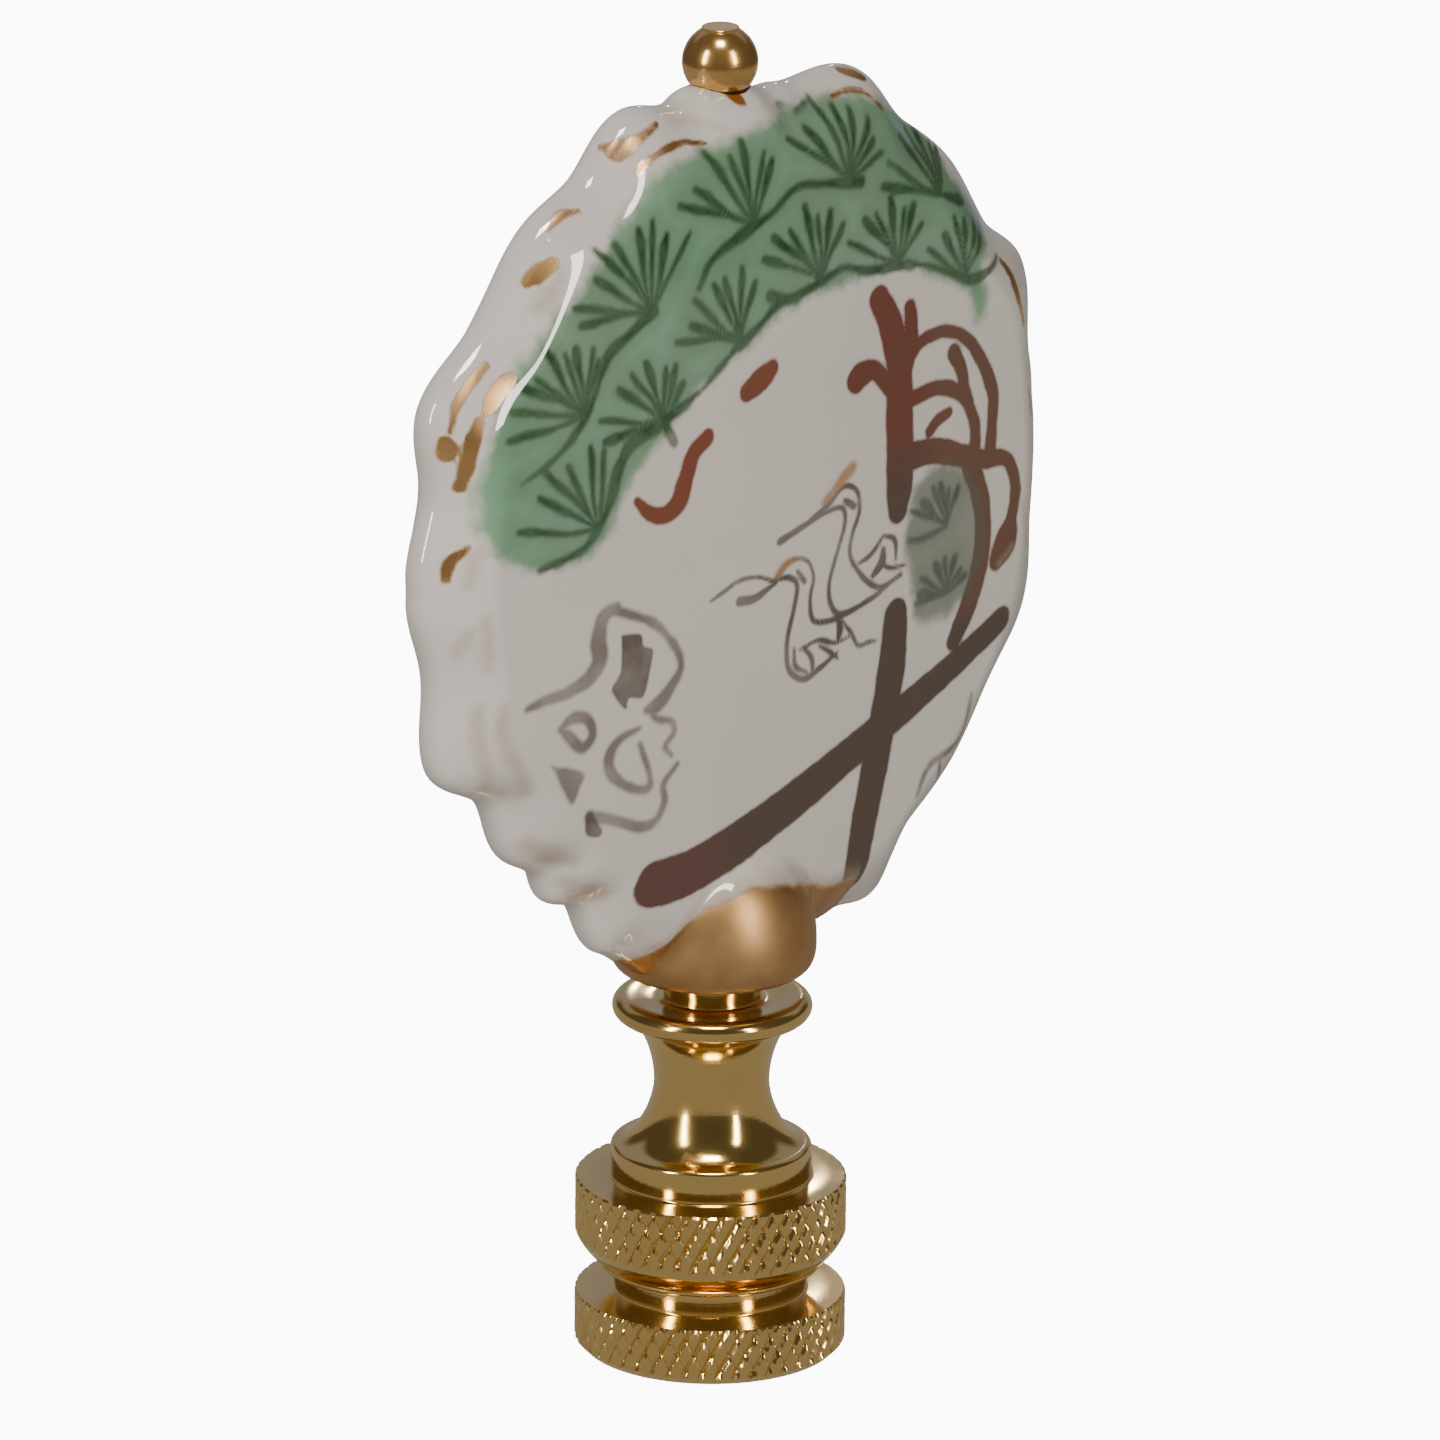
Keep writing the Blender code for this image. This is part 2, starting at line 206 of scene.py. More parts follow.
room = bpy.data.worlds.new("room")
room.use_nodes = True
bpy.context.scene.world = room
tree = room.node_tree
direction = tree.nodes.new("ShaderNodeTexCoord").outputs["Generated"]
facing = tree.nodes.new("ShaderNodeVectorMath")
facing.operation = "DOT_PRODUCT"
facing.inputs[1].default_value = studio_direction(CAMERA_TURN, 0)
tree.links.new(direction, facing.inputs[0])
height = tree.nodes.new("ShaderNodeSeparateXYZ")
tree.links.new(direction, height.inputs[0])
lower_room = blend(tree, between(tree, facing.outputs["Value"], *WALL_STARTS), ROOM_WALL, ROOM_DARK)
upper_room = blend(tree, between(tree, facing.outputs["Value"], *SIDE_STARTS), ROOM_WALL, ROOM_DARK)
walls = blend(tree, between(tree, height.outputs["Z"], *SIDE_HEIGHTS), lower_room, upper_room)
surround = blend(tree, between(tree, height.outputs["Z"], *PAPER_ENDS), ROOM_PAPER, walls)

# Seen past the paper, from any side, the room is as white as the paper
seen = tree.nodes.new("ShaderNodeLightPath").outputs["Is Camera Ray"]
white_room = [PAPER_GLOW * part for part in PAPER_WHITE]
tree.links.new(blend(tree, seen, surround, white_room), tree.nodes["Background"].inputs["Color"])

bm = bmesh.new()
bmesh.ops.create_circle(bm, cap_ends=True, segments=64, radius=PAPER_RADIUS)
table = backdrop("white_table", bm, PAPER_WHITE, PAPER_GLOW, PAPER_SHADE)
table.location.z = -PAPER_DROP

bm = bmesh.new()
bmesh.ops.create_uvsphere(bm, u_segments=48, v_segments=24, radius=PAPER_RADIUS)
surroundings = backdrop("white_surroundings", bm, PAPER_WHITE, SURROUND_GLOW)
surroundings.visible_shadow = False

bm = bmesh.new()
bmesh.ops.create_cone(bm, segments=96, radius1=LIP_DISTANCE, radius2=LIP_DISTANCE,
                      depth=LIP_HEIGHT)
bmesh.ops.create_circle(bm, cap_ends=True, segments=96, radius=LIP_DISTANCE,
                        matrix=Matrix.Translation((0, 0, -LIP_HEIGHT / 2)))
lip = backdrop("turned_up_paper", bm, ROOM_PAPER, 1.0)
lip.location.z = LIP_HEIGHT / 2
lip.visible_camera = False
lip.visible_shadow = False
lip.visible_glossy = True


# Brass base
#
# Turned from one bar of brass: two knurled rings, a collar, a coved neck and a flange with a
# spindle on top. It is polished and lacquered, and tapped from below for the lamp's harp.

MM = 0.001
SIDES = 192
KNURL_SIDES = 768
HOLE_SIDES = 96

base_low, base_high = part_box("brass_base")
RING_R = base_high.x / MM
LOWER_TOP = 2.74
UPPER_BOTTOM = 4.42
UPPER_TOP = 8.35
CONE_IN = 0.95
CONE_HEIGHT = 1.24
CONE_BULGE = 0.1
CONE_SMOOTH = 0.7                   # share of the cone's height that the knurling doesn't reach
CONE_ROWS = 16
CHAMFER = 0.4
RING_EDGE = 0.09
KNURL_LAND = 0.35                   # from a ring's edge to the last row that its grooves cut
SMOOTH_LAND = 0.6                   # and to the first smooth row
UNDER_LAND = 0.25                   # from the chamfer to the first smooth row underneath
WAIST_R = 4.5
WAIST_FLARE = 0.15                  # more at its top, below the bead
FILLET = 0.12
WALL_START = 0.2                    # height of a wall's first row, clear of the fillet at its foot
BEAD_Z = 4.16
BEAD_PROUD = 0.6
BEAD_HALF = 0.22
BEAD_GAP = 0.06
BEAD_FULLNESS = 0.8                 # 1 is an ellipse, and less is fuller
BEAD_ROWS = 12
WAIST_GAP = 0.02                    # from the waist's last row to the upper ring
COLLAR_R = 4.7
COLLAR_TOP = 9.75
COLLAR_STEP = 0.25
SHOULDER_ROUND = 0.3
COVE_START = 10.0
COVE_CURVE = 1.65
NECK_R = 2.7
NECK_Z = 12.98
FLANGE_Z = 16.13
FLANGE_R = 4.68
FLANGE_THICK = 1.08
FLARE_CURVE = 1.8
SAUCER_DROP = 0.16
SAUCER_ROWS = 12
SPINDLE_R = 2.28
SPINDLE_FILLET = 0.32
SPINDLE_CHAMFER = 0.15
SPINDLE_STEP = 0.4
SPINDLE_TOP = base_high.z / MM
HOLE_R = 2.95
HOLE_DEPTH = 8.0
DRILL_POINT = 1.2
DRILL_POINT_R = 0.6
MOUTH_R = 3.35
MOUTH_DEPTH = 0.42
MOUTH_EDGE = 0.03

DIAMONDS = 48
DIAMOND_ROWS = 14                   # from a diamond's lower point to its upper one
GROOVE_ANGLE = 29.0                 # degrees from the axis
RIGHT_GROOVE = 0.18                 # depth of the grooves that lean to the right, cut last
LEFT_GROOVE = 0.11
GROOVE_WALL = 42.0                  # degrees from the ring's face
GROOVE_WEAR = 1100.0                # patches to a metre where the grooves are deeper or shallower
GROOVE_LEAST = 0.45                 # share of its depth where a groove is shallowest
GROOVE_SPREAD = 1.1
CROSSING_EXTRA = 0.6                # how much deeper the grooves cut where they cross
THREAD_PITCH = 0.94
THREAD_HEIGHT = 0.44
THREAD_ROWS = 12                    # for each turn of the thread
THREAD_START = 0.5
THREAD_STOP = 0.15                  # below the full depth of the hole
THREAD_FADE = 0.5
THREAD_LEAST = 0.3                  # share of its height at the mouth

BASE_BRASS = ((0.86, 0.605, 0.215), (0.76, 0.49, 0.15))      # polished, and tarnished
BASE_ROUGHNESS = 0.12
BASE_CREASE = 24                    # degrees from which an edge is sharp


def arc(start, end, level_first, steps=8):
    """A quarter ellipse of (radius, height) points, level at its start or at its end."""
    points = []
    for i in range(steps + 1):
        slow, fast = 1 - cos(pi / 2 * i / steps), sin(pi / 2 * i / steps)
        across, along = (fast, slow) if level_first else (slow, fast)
        points.append((start[0] + (end[0] - start[0]) * across,
                       start[1] + (end[1] - start[1]) * along))
    return points


def flare(neck, end, power, steps=20):
    """A hollow curve that leaves the neck along the axis and spreads to its end."""
    points = []
    for i in range(steps + 1):
        turn = pi / 2 * i / steps
        points.append((neck[0] + (end[0] - neck[0]) * (1 - cos(turn) ** (2 / power)),
                       neck[1] + (end[1] - neck[1]) * sin(turn) ** (2 / power)))
    return points


def rows(start, end, step):
    """Points on a straight line, about a step apart."""
    count = max(1, round(hypot(end[0] - start[0], end[1] - start[1]) / step))
    return [(start[0] + (end[0] - start[0]) * i / count,
             start[1] + (end[1] - start[1]) * i / count) for i in range(count + 1)]


def lathe(bm, profile, marks):
    """Skin rings of (radius, height, sides, mark) one above the other, and close both ends."""
    layers = {name: bm.verts.layers.float.new(name) for name in marks}
    loops = []
    for radius, z, sides, mark in profile:
        ring = []
        for i in range(sides):
            turn = 2 * pi * i / sides
            vert = bm.verts.new((radius * MM * cos(turn), radius * MM * sin(turn), z * MM))
            if mark:
                vert[layers[mark[0]]] = mark[1]
            ring.append(vert)
        loops.append(ring)
    for below, above in zip(loops, loops[1:]):
        coarse, fine = (below, above) if len(below) <= len(above) else (above, below)
        ratio = len(fine) // len(coarse)
        for i in range(len(coarse)):
            j = (i + 1) % len(coarse)
            span = [fine[(i * ratio + k) % len(fine)] for k in range(ratio + 1)]
            if ratio == 1:
                faces = [(coarse[i], coarse[j], span[1], span[0])]
            else:
                half = ratio // 2
                faces = [(coarse[i], span[k + 1], span[k]) for k in range(half)]
                faces.append((coarse[i], coarse[j], span[half]))
                faces += [(coarse[j], span[k + 1], span[k]) for k in range(half, ratio)]
            for face in faces:
                bm.faces.new(face if coarse is below else face[::-1])
    for ring, order in ((loops[0], -1), (loops[-1], 1)):
        hub = bm.verts.new(sum((v.co for v in ring), Vector()) / len(ring))
        ring = ring[::order]
        for first, second in zip(ring, ring[1:] + ring[:1]):
            bm.faces.new((first, second, hub))


def plain(points, mark=None, sides=SIDES):
    """Rings for the lathe from (radius, height) points."""
    return [(radius, z, sides, mark) for radius, z in points]


def knurled(points):
    """Rings that the knurling cuts into."""
    return plain(points, ("knurl", 1.0), KNURL_SIDES)


diamond_height = 2 * pi * RING_R / DIAMONDS / tan(radians(GROOVE_ANGLE))
knurl_step = diamond_height / DIAMOND_ROWS

# The tapped hole, from its point down to its mouth
thread_top = HOLE_DEPTH - THREAD_STOP
profile = plain([(DRILL_POINT_R, HOLE_DEPTH + DRILL_POINT), (HOLE_R, HOLE_DEPTH)], sides=HOLE_SIDES)
for radius, z in rows((HOLE_R, thread_top), (HOLE_R, THREAD_START), THREAD_PITCH / THREAD_ROWS):
    depth = min(1.0, (thread_top - z) / THREAD_FADE, (z - THREAD_START) / THREAD_FADE + THREAD_LEAST)
    profile.append((radius, z, HOLE_SIDES, ("thread", depth)))
profile += plain([(HOLE_R, MOUTH_DEPTH), (MOUTH_R, 0.0)], sides=HOLE_SIDES)

# The lower ring, the waist and its bead
profile += plain([(MOUTH_R + MOUTH_EDGE, 0.0), (RING_R - CHAMFER - UNDER_LAND, 0.0)])
profile += knurled(rows((RING_R - CHAMFER, 0.0), (RING_R, CHAMFER), knurl_step))
profile += knurled(rows((RING_R, CHAMFER), (RING_R, LOWER_TOP - RING_EDGE), knurl_step)[1:])
profile += knurled([(RING_R - RING_EDGE, LOWER_TOP), (RING_R - KNURL_LAND, LOWER_TOP)])
profile += plain([(RING_R - SMOOTH_LAND, LOWER_TOP)])
profile += plain(arc((WAIST_R + FILLET, LOWER_TOP), (WAIST_R, LOWER_TOP + FILLET), True, 4))
waist_top = WAIST_R + WAIST_FLARE
profile += plain([(waist_top, BEAD_Z - BEAD_HALF - BEAD_GAP)])
for i in range(BEAD_ROWS + 1):
    swing = pi * (i / BEAD_ROWS - 0.5)
    proud = BEAD_PROUD * cos(swing) ** BEAD_FULLNESS
    profile += plain([(waist_top + proud, BEAD_Z + BEAD_HALF * sin(swing))])
profile += plain([(waist_top + FILLET, UPPER_BOTTOM - WAIST_GAP)])

# The upper ring, which tapers below in a slightly swollen cone
for i in range(CONE_ROWS + 1):
    share = i / CONE_ROWS
    swell = CONE_BULGE * sin(pi * share) * sqrt(0.5)
    ring = [(RING_R - CONE_IN * (1 - share) + swell, UPPER_BOTTOM + CONE_HEIGHT * share - swell)]
    profile += knurled(ring) if share > CONE_SMOOTH else plain(ring)
profile += knurled(rows((RING_R, UPPER_BOTTOM + CONE_HEIGHT), (RING_R, UPPER_TOP - RING_EDGE),
                        knurl_step)[1:])
profile += knurled([(RING_R - RING_EDGE, UPPER_TOP), (RING_R - KNURL_LAND, UPPER_TOP)])
profile += plain([(RING_R - SMOOTH_LAND, UPPER_TOP)])

# The collar with its rounded shoulder, and the coved neck
profile += plain(arc((COLLAR_R + FILLET, UPPER_TOP), (COLLAR_R, UPPER_TOP + FILLET), True, 4))
profile += plain(rows((COLLAR_R, UPPER_TOP + WALL_START), (COLLAR_R, COLLAR_TOP), COLLAR_STEP))
shoulder = (COLLAR_R - SHOULDER_ROUND, COVE_START)
profile += plain(arc((COLLAR_R, COLLAR_TOP), shoulder, False)[1:])
profile += plain(flare((NECK_R, NECK_Z), shoulder, COVE_CURVE)[-2::-1])

# The flange, which is a little hollow on top, and the spindle
flange_half = FLANGE_THICK / 2
flange_top = FLANGE_Z + FLANGE_THICK
rim_start = (FLANGE_R - flange_half, FLANGE_Z)
rim_middle = (FLANGE_R, FLANGE_Z + flange_half)
rim_crest = (FLANGE_R - flange_half, flange_top)
profile += plain(flare((NECK_R, NECK_Z), rim_start, FLARE_CURVE)[1:])
profile += plain(arc(rim_start, rim_middle, True)[1:])
profile += plain(arc(rim_middle, rim_crest, False)[1:])
saucer_end = SPINDLE_R + SPINDLE_FILLET
for i in range(1, SAUCER_ROWS + 1):
    share = i / SAUCER_ROWS
    profile += plain([(rim_crest[0] + (saucer_end - rim_crest[0]) * share,
                       flange_top - SAUCER_DROP * (0.5 - 0.5 * cos(pi * share)))])
profile += plain(arc((saucer_end, flange_top - SAUCER_DROP), (SPINDLE_R, flange_top), True)[1:])
profile += plain(rows((SPINDLE_R, flange_top + WALL_START),
                      (SPINDLE_R, SPINDLE_TOP - SPINDLE_CHAMFER), SPINDLE_STEP))
profile += plain([(SPINDLE_R - SPINDLE_CHAMFER, SPINDLE_TOP)])


def maths(tree, operation, *values):
    """A math node. Each value is a number or another node's socket."""
    node = tree.nodes.new("ShaderNodeMath")
    node.operation = operation
    for socket, value in zip(node.inputs, values):
        if isinstance(value, bpy.types.NodeSocket):
            tree.links.new(value, socket)
        else:
            socket.default_value = value
    return node.outputs["Value"]


def knurling_tree(sizes, material):
    """Cuts crossing V grooves into the marked rings, and a thread into the marked hole."""
    tree = bpy.data.node_groups.new("knurl_and_thread", "GeometryNodeTree")
    tree.interface.new_socket("Geometry", in_out="INPUT", socket_type="NodeSocketGeometry")
    for name in sizes:
        tree.interface.new_socket(name, in_out="INPUT", socket_type="NodeSocketFloat")
    tree.interface.new_socket("Geometry", in_out="OUTPUT", socket_type="NodeSocketGeometry")
    given = tree.nodes.new("NodeGroupInput").outputs
    position = tree.nodes.new("GeometryNodeInputPosition").outputs[0]
    split = tree.nodes.new("ShaderNodeSeparateXYZ")
    tree.links.new(position, split.inputs[0])
    x, y, z = split.outputs
    radius = maths(tree, "SQRT", maths(tree, "ADD", maths(tree, "MULTIPLY", x, x),
                                       maths(tree, "MULTIPLY", y, y)))
    turn = maths(tree, "DIVIDE", maths(tree, "ARCTAN2", y, x), 2 * pi)

    def marked(name):
        node = tree.nodes.new("GeometryNodeInputNamedAttribute")
        node.data_type = "FLOAT"
        node.inputs["Name"].default_value = name
        return node.outputs["Attribute"]

    around = maths(tree, "MULTIPLY", turn, given["Diamonds"])
    climb = maths(tree, "MULTIPLY", z, given["Diamonds a metre"])
    uneven = tree.nodes.new("ShaderNodeTexNoise")
    uneven.inputs["Scale"].default_value = GROOVE_WEAR
    uneven.inputs["Detail"].default_value = 2.0
    tree.links.new(position, uneven.inputs["Vector"])
    vary = maths(tree, "ADD", maths(tree, "MULTIPLY", uneven.outputs[0], GROOVE_SPREAD),
                 GROOVE_LEAST)
    drops = []
    for direction, depth in (("SUBTRACT", "Right groove depth"), ("ADD", "Left groove depth")):
        away = maths(tree, "PINGPONG", maths(tree, direction, around, climb), 0.5)
        wall = maths(tree, "MULTIPLY", away, given["Wall rise a groove"])
        cut = maths(tree, "SUBTRACT", maths(tree, "MULTIPLY", given[depth], vary), wall)
        drops.append(maths(tree, "MAXIMUM", cut, 0.0))
    crossing = maths(tree, "MULTIPLY", maths(tree, "MINIMUM", *drops), CROSSING_EXTRA)
    drop = maths(tree, "ADD", maths(tree, "MAXIMUM", *drops), crossing)
    floor = maths(tree, "SUBTRACT", given["Ring radius"], drop)
    cut = maths(tree, "SUBTRACT", maths(tree, "MINIMUM", radius, floor), radius)
    cut = maths(tree, "MULTIPLY", cut, marked("knurl"))
    helix = maths(tree, "SUBTRACT", maths(tree, "DIVIDE", z, given["Thread pitch"]), turn)
    ridge = maths(tree, "MULTIPLY", maths(tree, "PINGPONG", helix, 0.5), 2.0)
    ridge = maths(tree, "MULTIPLY", maths(tree, "SUBTRACT", ridge, 0.5), given["Thread height"])
    ridge = maths(tree, "MULTIPLY", ridge, marked("thread"))
    share = maths(tree, "DIVIDE", maths(tree, "ADD", cut, ridge), radius)
    flat = tree.nodes.new("ShaderNodeCombineXYZ")
    tree.links.new(x, flat.inputs["X"])
    tree.links.new(y, flat.inputs["Y"])
    offset = tree.nodes.new("ShaderNodeVectorMath")
    offset.operation = "SCALE"
    tree.links.new(flat.outputs[0], offset.inputs[0])
    tree.links.new(share, offset.inputs["Scale"])
    moved = tree.nodes.new("GeometryNodeSetPosition")
    tree.links.new(given["Geometry"], moved.inputs["Geometry"])
    tree.links.new(offset.outputs[0], moved.inputs["Offset"])
    real = tree.nodes.new("GeometryNodeRealizeInstances")
    tree.links.new(moved.outputs[0], real.inputs[0])
    painted = tree.nodes.new("GeometryNodeSetMaterial")
    painted.inputs["Material"].default_value = material
    tree.links.new(real.outputs[0], painted.inputs["Geometry"])
    tree.links.new(painted.outputs[0], tree.nodes.new("NodeGroupOutput").inputs[0])
    return tree


def noise(tree, vector, scale, detail=3.0, stretch=None):
    """A noise texture on object coordinates, stretched along the axes if asked."""
    if stretch:
        mapping = tree.nodes.new("ShaderNodeMapping")
        mapping.inputs["Scale"].default_value = stretch
        tree.links.new(vector, mapping.inputs["Vector"])
        vector = mapping.outputs[0]
    node = tree.nodes.new("ShaderNodeTexNoise")
    node.inputs["Scale"].default_value = scale
    node.inputs["Detail"].default_value = detail
    tree.links.new(vector, node.inputs["Vector"])
    return node.outputs[0]


def lacquered_brass(name, bright, dull, roughness, metal=1.0):
    """Turned brass: fine tool marks round the axis, patchy polish and a little tarnish."""
    material = bpy.data.materials.new(name)
    material.use_nodes = True
    tree = material.node_tree
    shader = tree.nodes["Principled BSDF"]
    place = tree.nodes.new("ShaderNodeTexCoord").outputs["Object"]
    patches = noise(tree, place, 260.0, 4.0)
    marks = noise(tree, place, 1.0, 2.0, stretch=(120, 120, 9000))
    specks = noise(tree, place, 2600.0, 2.0)
    tarnish = between(tree, patches, 0.5, 0.75)
    tree.links.new(blend(tree, tarnish, bright, dull), shader.inputs["Base Color"])
    rough = maths(tree, "ADD", between(tree, patches, 0.3, 0.7, roughness * 0.8, roughness * 1.3),
                  between(tree, specks, 0.6, 0.85, 0.0, 0.08))
    tree.links.new(rough, shader.inputs["Roughness"])
    shader.inputs["Metallic"].default_value = metal
    shader.inputs["Coat Weight"].default_value = 0.3
    shader.inputs["Coat Roughness"].default_value = 0.1
    bump = tree.nodes.new("ShaderNodeBump")
    bump.inputs["Strength"].default_value = 0.25
    bump.inputs["Distance"].default_value = 0.00001
    tree.links.new(marks, bump.inputs["Height"])
    tree.links.new(bump.outputs[0], shader.inputs["Normal"])
    return material


def plain_mesh(obj, crease):
    """The object with its modifiers applied, shaded smooth except at creases."""
    mesh = bpy.data.meshes.new_from_object(obj.evaluated_get(bpy.context.evaluated_depsgraph_get()))
    obj.modifiers.clear()
    obj.data = mesh
    mesh.shade_smooth()
    mesh.set_sharp_from_angle(angle=radians(crease))
    return obj


def piece(name, bm, material=None):
    """A new object with the mesh that was built."""
    mesh = bpy.data.meshes.new(name)
    bm.to_mesh(mesh)
    bm.free()
    obj = bpy.data.objects.new(name, mesh)
    bpy.context.collection.objects.link(obj)
    if material:
        mesh.materials.append(material)
    return obj


base_brass = lacquered_brass("polished_brass", *BASE_BRASS, BASE_ROUGHNESS)
bm = bmesh.new()
lathe(bm, profile, ("knurl", "thread"))
bmesh.ops.recalc_face_normals(bm, faces=bm.faces)
base = piece("turned_base", bm, base_brass)
groove_pitch = 2 * pi * RING_R / DIAMONDS * cos(radians(GROOVE_ANGLE))
knurl_sizes = {
    "Diamonds": DIAMONDS,
    "Diamonds a metre": DIAMONDS * tan(radians(GROOVE_ANGLE)) / (2 * pi * RING_R * MM),
    "Ring radius": RING_R * MM,
    "Right groove depth": RIGHT_GROOVE * MM,
    "Left groove depth": LEFT_GROOVE * MM,
    "Wall rise a groove": groove_pitch * tan(radians(GROOVE_WALL)) * MM,
    "Thread pitch": THREAD_PITCH * MM,
    "Thread height": THREAD_HEIGHT * MM,
}
knurling = base.modifiers.new("knurling", "NODES")
knurling.node_group = knurling_tree(knurl_sizes, base_brass)
for item in knurling.node_group.interface.items_tree:
    if item.name in knurl_sizes:
        knurling[item.identifier] = float(knurl_sizes[item.name])
plain_mesh(base, BASE_CREASE)
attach(base, "root")
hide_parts("brass_base")


# Brass ball
#
# A small turned ball with a neck that is cemented into the top of the medallion, and a low
# flat stub left where it was parted from the bar.

BALL_R = 1.76
BALL_NECK_R = 1.2
BALL_FLAT_R = 0.87
BALL_FLAT_PROUD = 0.12
BALL_FLAT_EDGE = 0.02
BALL_SIDES = 96
BALL_ROWS = 40
BALL_NECK_STEP = 0.2
BALL_CREASE = 30
BALL_BRASS = ((0.78, 0.48, 0.17), (0.64, 0.34, 0.09))
BALL_ROUGHNESS = 0.18
BALL_METAL = 0.94                   # less than 1 for the dust and lacquer on it

ball_low, ball_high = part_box("ball_cap")
ball_centre = ball_high.z / MM - BALL_FLAT_PROUD - sqrt(BALL_R ** 2 - BALL_FLAT_R ** 2)
lowest = -asin(sqrt(1 - (BALL_NECK_R / BALL_R) ** 2))
highest = asin(sqrt(1 - (BALL_FLAT_R / BALL_R) ** 2))
ball_profile = plain(rows((BALL_NECK_R, ball_low.z / MM),
                          (BALL_NECK_R, ball_centre + BALL_R * sin(lowest)), BALL_NECK_STEP),
                     sides=BALL_SIDES)
for i in range(1, BALL_ROWS + 1):
    angle = lowest + (highest - lowest) * i / BALL_ROWS
    ball_profile += plain([(BALL_R * cos(angle), ball_centre + BALL_R * sin(angle))], sides=BALL_SIDES)
stub_top = ball_high.z / MM
ball_profile += plain([(BALL_FLAT_R, stub_top - BALL_FLAT_EDGE),
                       (BALL_FLAT_R - BALL_FLAT_EDGE, stub_top),
                       (BALL_FLAT_R * 0.5, stub_top)], sides=BALL_SIDES)
bm = bmesh.new()
lathe(bm, ball_profile, ())
bmesh.ops.recalc_face_normals(bm, faces=bm.faces)
ball_brass = lacquered_brass("ball_brass", *BALL_BRASS, BALL_ROUGHNESS, BALL_METAL)
ball = plain_mesh(piece("ball", bm, ball_brass), BALL_CREASE)
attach(ball, "root")
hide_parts("ball_cap")


# Porcelain medallion
#
# Cast in one with its round foot, with a scalloped border that slopes up to a gently crowned
# face. It is glazed warm white, painted by hand with pines and two cranes, and gilded.

DISC_R = 20.8
EDGE_THICKNESS = 2.4
EDGE_ROUNDING = 0.5
BORDER_WIDTH = 3.2
RIDGE_THICKNESS = 5.2
CROWN_THICKNESS = 6.8
BOSS_THICKNESS = 2.6
BOSS_SPREAD = 9.0
BALL_NOTCH = 89
FOOT_BOTTOM = -20.74
FOOT_R = 4.85
FOOT_TUCK = 0.6                     # how far its lower edge is drawn in, and over what height
FOOT_ROUND = 1.1
FOOT_WALL = 0.3
FOOT_DOME = 5.4
FOOT_SEEN = 3.5                     # height up to which it can reach past the disc
FOOT_BLEND = 0.8
MEDALLION_CREASE = 40

# Crests and notches of the scalloped edge: degrees from +X towards +Z, and share of DISC_R
SCALLOPS = (
    (7, 1.006), (13, 1.013), (26, 1.063), (35, 1.013), (48, 1.036), (56, 1.032),
    (68, 1.092), (80, 1.034), (83, 1.026), (89, 1.060), (94, 1.060), (98, 1.046), (106, 1.089),
    (117, 1.024), (124, 1.033), (139, 0.994), (151, 1.038), (164, 0.948), (172, 0.957), (176, 0.950),
    (188, 0.912), (201, 0.956), (212, 0.866), (221, 0.894), (228, 0.870), (233, 0.900), (238, 0.882),
    (247, 0.956), (257, 0.990), (270, 0.913), (290, 1.015), (297, 1.060), (306, 1.000),
    (318, 1.010), (327, 1.001), (340, 1.038), (354, 1.003),
)
EDGE_CALM = 14.0                    # degrees over which the face's own outline is smoothed
CALM_SPAN = 60                      # degrees either way that this takes in
TURN_STEP = 0.5

foot_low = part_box("porcelain_medallion")[0].z / MM
scallop_turns = np.array([SCALLOPS[-1][0] - 360] + [s[0] for s in SCALLOPS] + [SCALLOPS[0][0] + 360])
scallop_reach = DISC_R * np.array([SCALLOPS[-1][1]] + [s[1] for s in SCALLOPS] + [SCALLOPS[0][1]])


def scalloped(turn):
    """Radius of the disc's own edge at angles in degrees, eased from stop to stop."""
    turn = np.mod(turn, 360)
    turn = np.where(turn > scallop_turns[-1], turn - 360, turn)
    stop = np.clip(np.searchsorted(scallop_turns, turn, side="right") - 1, 0, len(SCALLOPS))
    start, end = scallop_turns[stop], scallop_turns[stop + 1]
    ease = 0.5 - 0.5 * np.cos(pi * (turn - start) / (end - start))
    return scallop_reach[stop] + (scallop_reach[stop + 1] - scallop_reach[stop]) * ease


whole_turns = np.arange(0, 360, TURN_STEP)
calm_turns = np.arange(-CALM_SPAN, CALM_SPAN + TURN_STEP, TURN_STEP)
calm_weights = np.exp(-(calm_turns / EDGE_CALM) ** 2)
thrice_round = np.tile(scalloped(whole_turns), 3)
calm_reach = np.convolve(thrice_round, calm_weights / calm_weights.sum(), "same")
calm_reach = calm_reach[len(whole_turns):2 * len(whole_turns)]
disc_centre = foot_low - FOOT_BOTTOM


def face_edge(turn):
    """Radius at which the border meets the face: the scalloped edge, calmed."""
    return np.interp(np.mod(turn, 360), whole_turns, calm_reach, period=360) - BORDER_WIDTH


def foot_radius(z):
    """Radius of the round foot at heights from the disc's centre."""
    above = z - FOOT_BOTTOM
    tuck = 1 - np.sqrt(1 - (1 - np.clip(above / FOOT_ROUND, 0, 1)) ** 2)
    fade = np.clip((above - FOOT_ROUND - FOOT_WALL) / FOOT_DOME, 0, 1)
    return (FOOT_R - FOOT_TUCK * tuck) * np.sqrt(1 - fade ** 2)


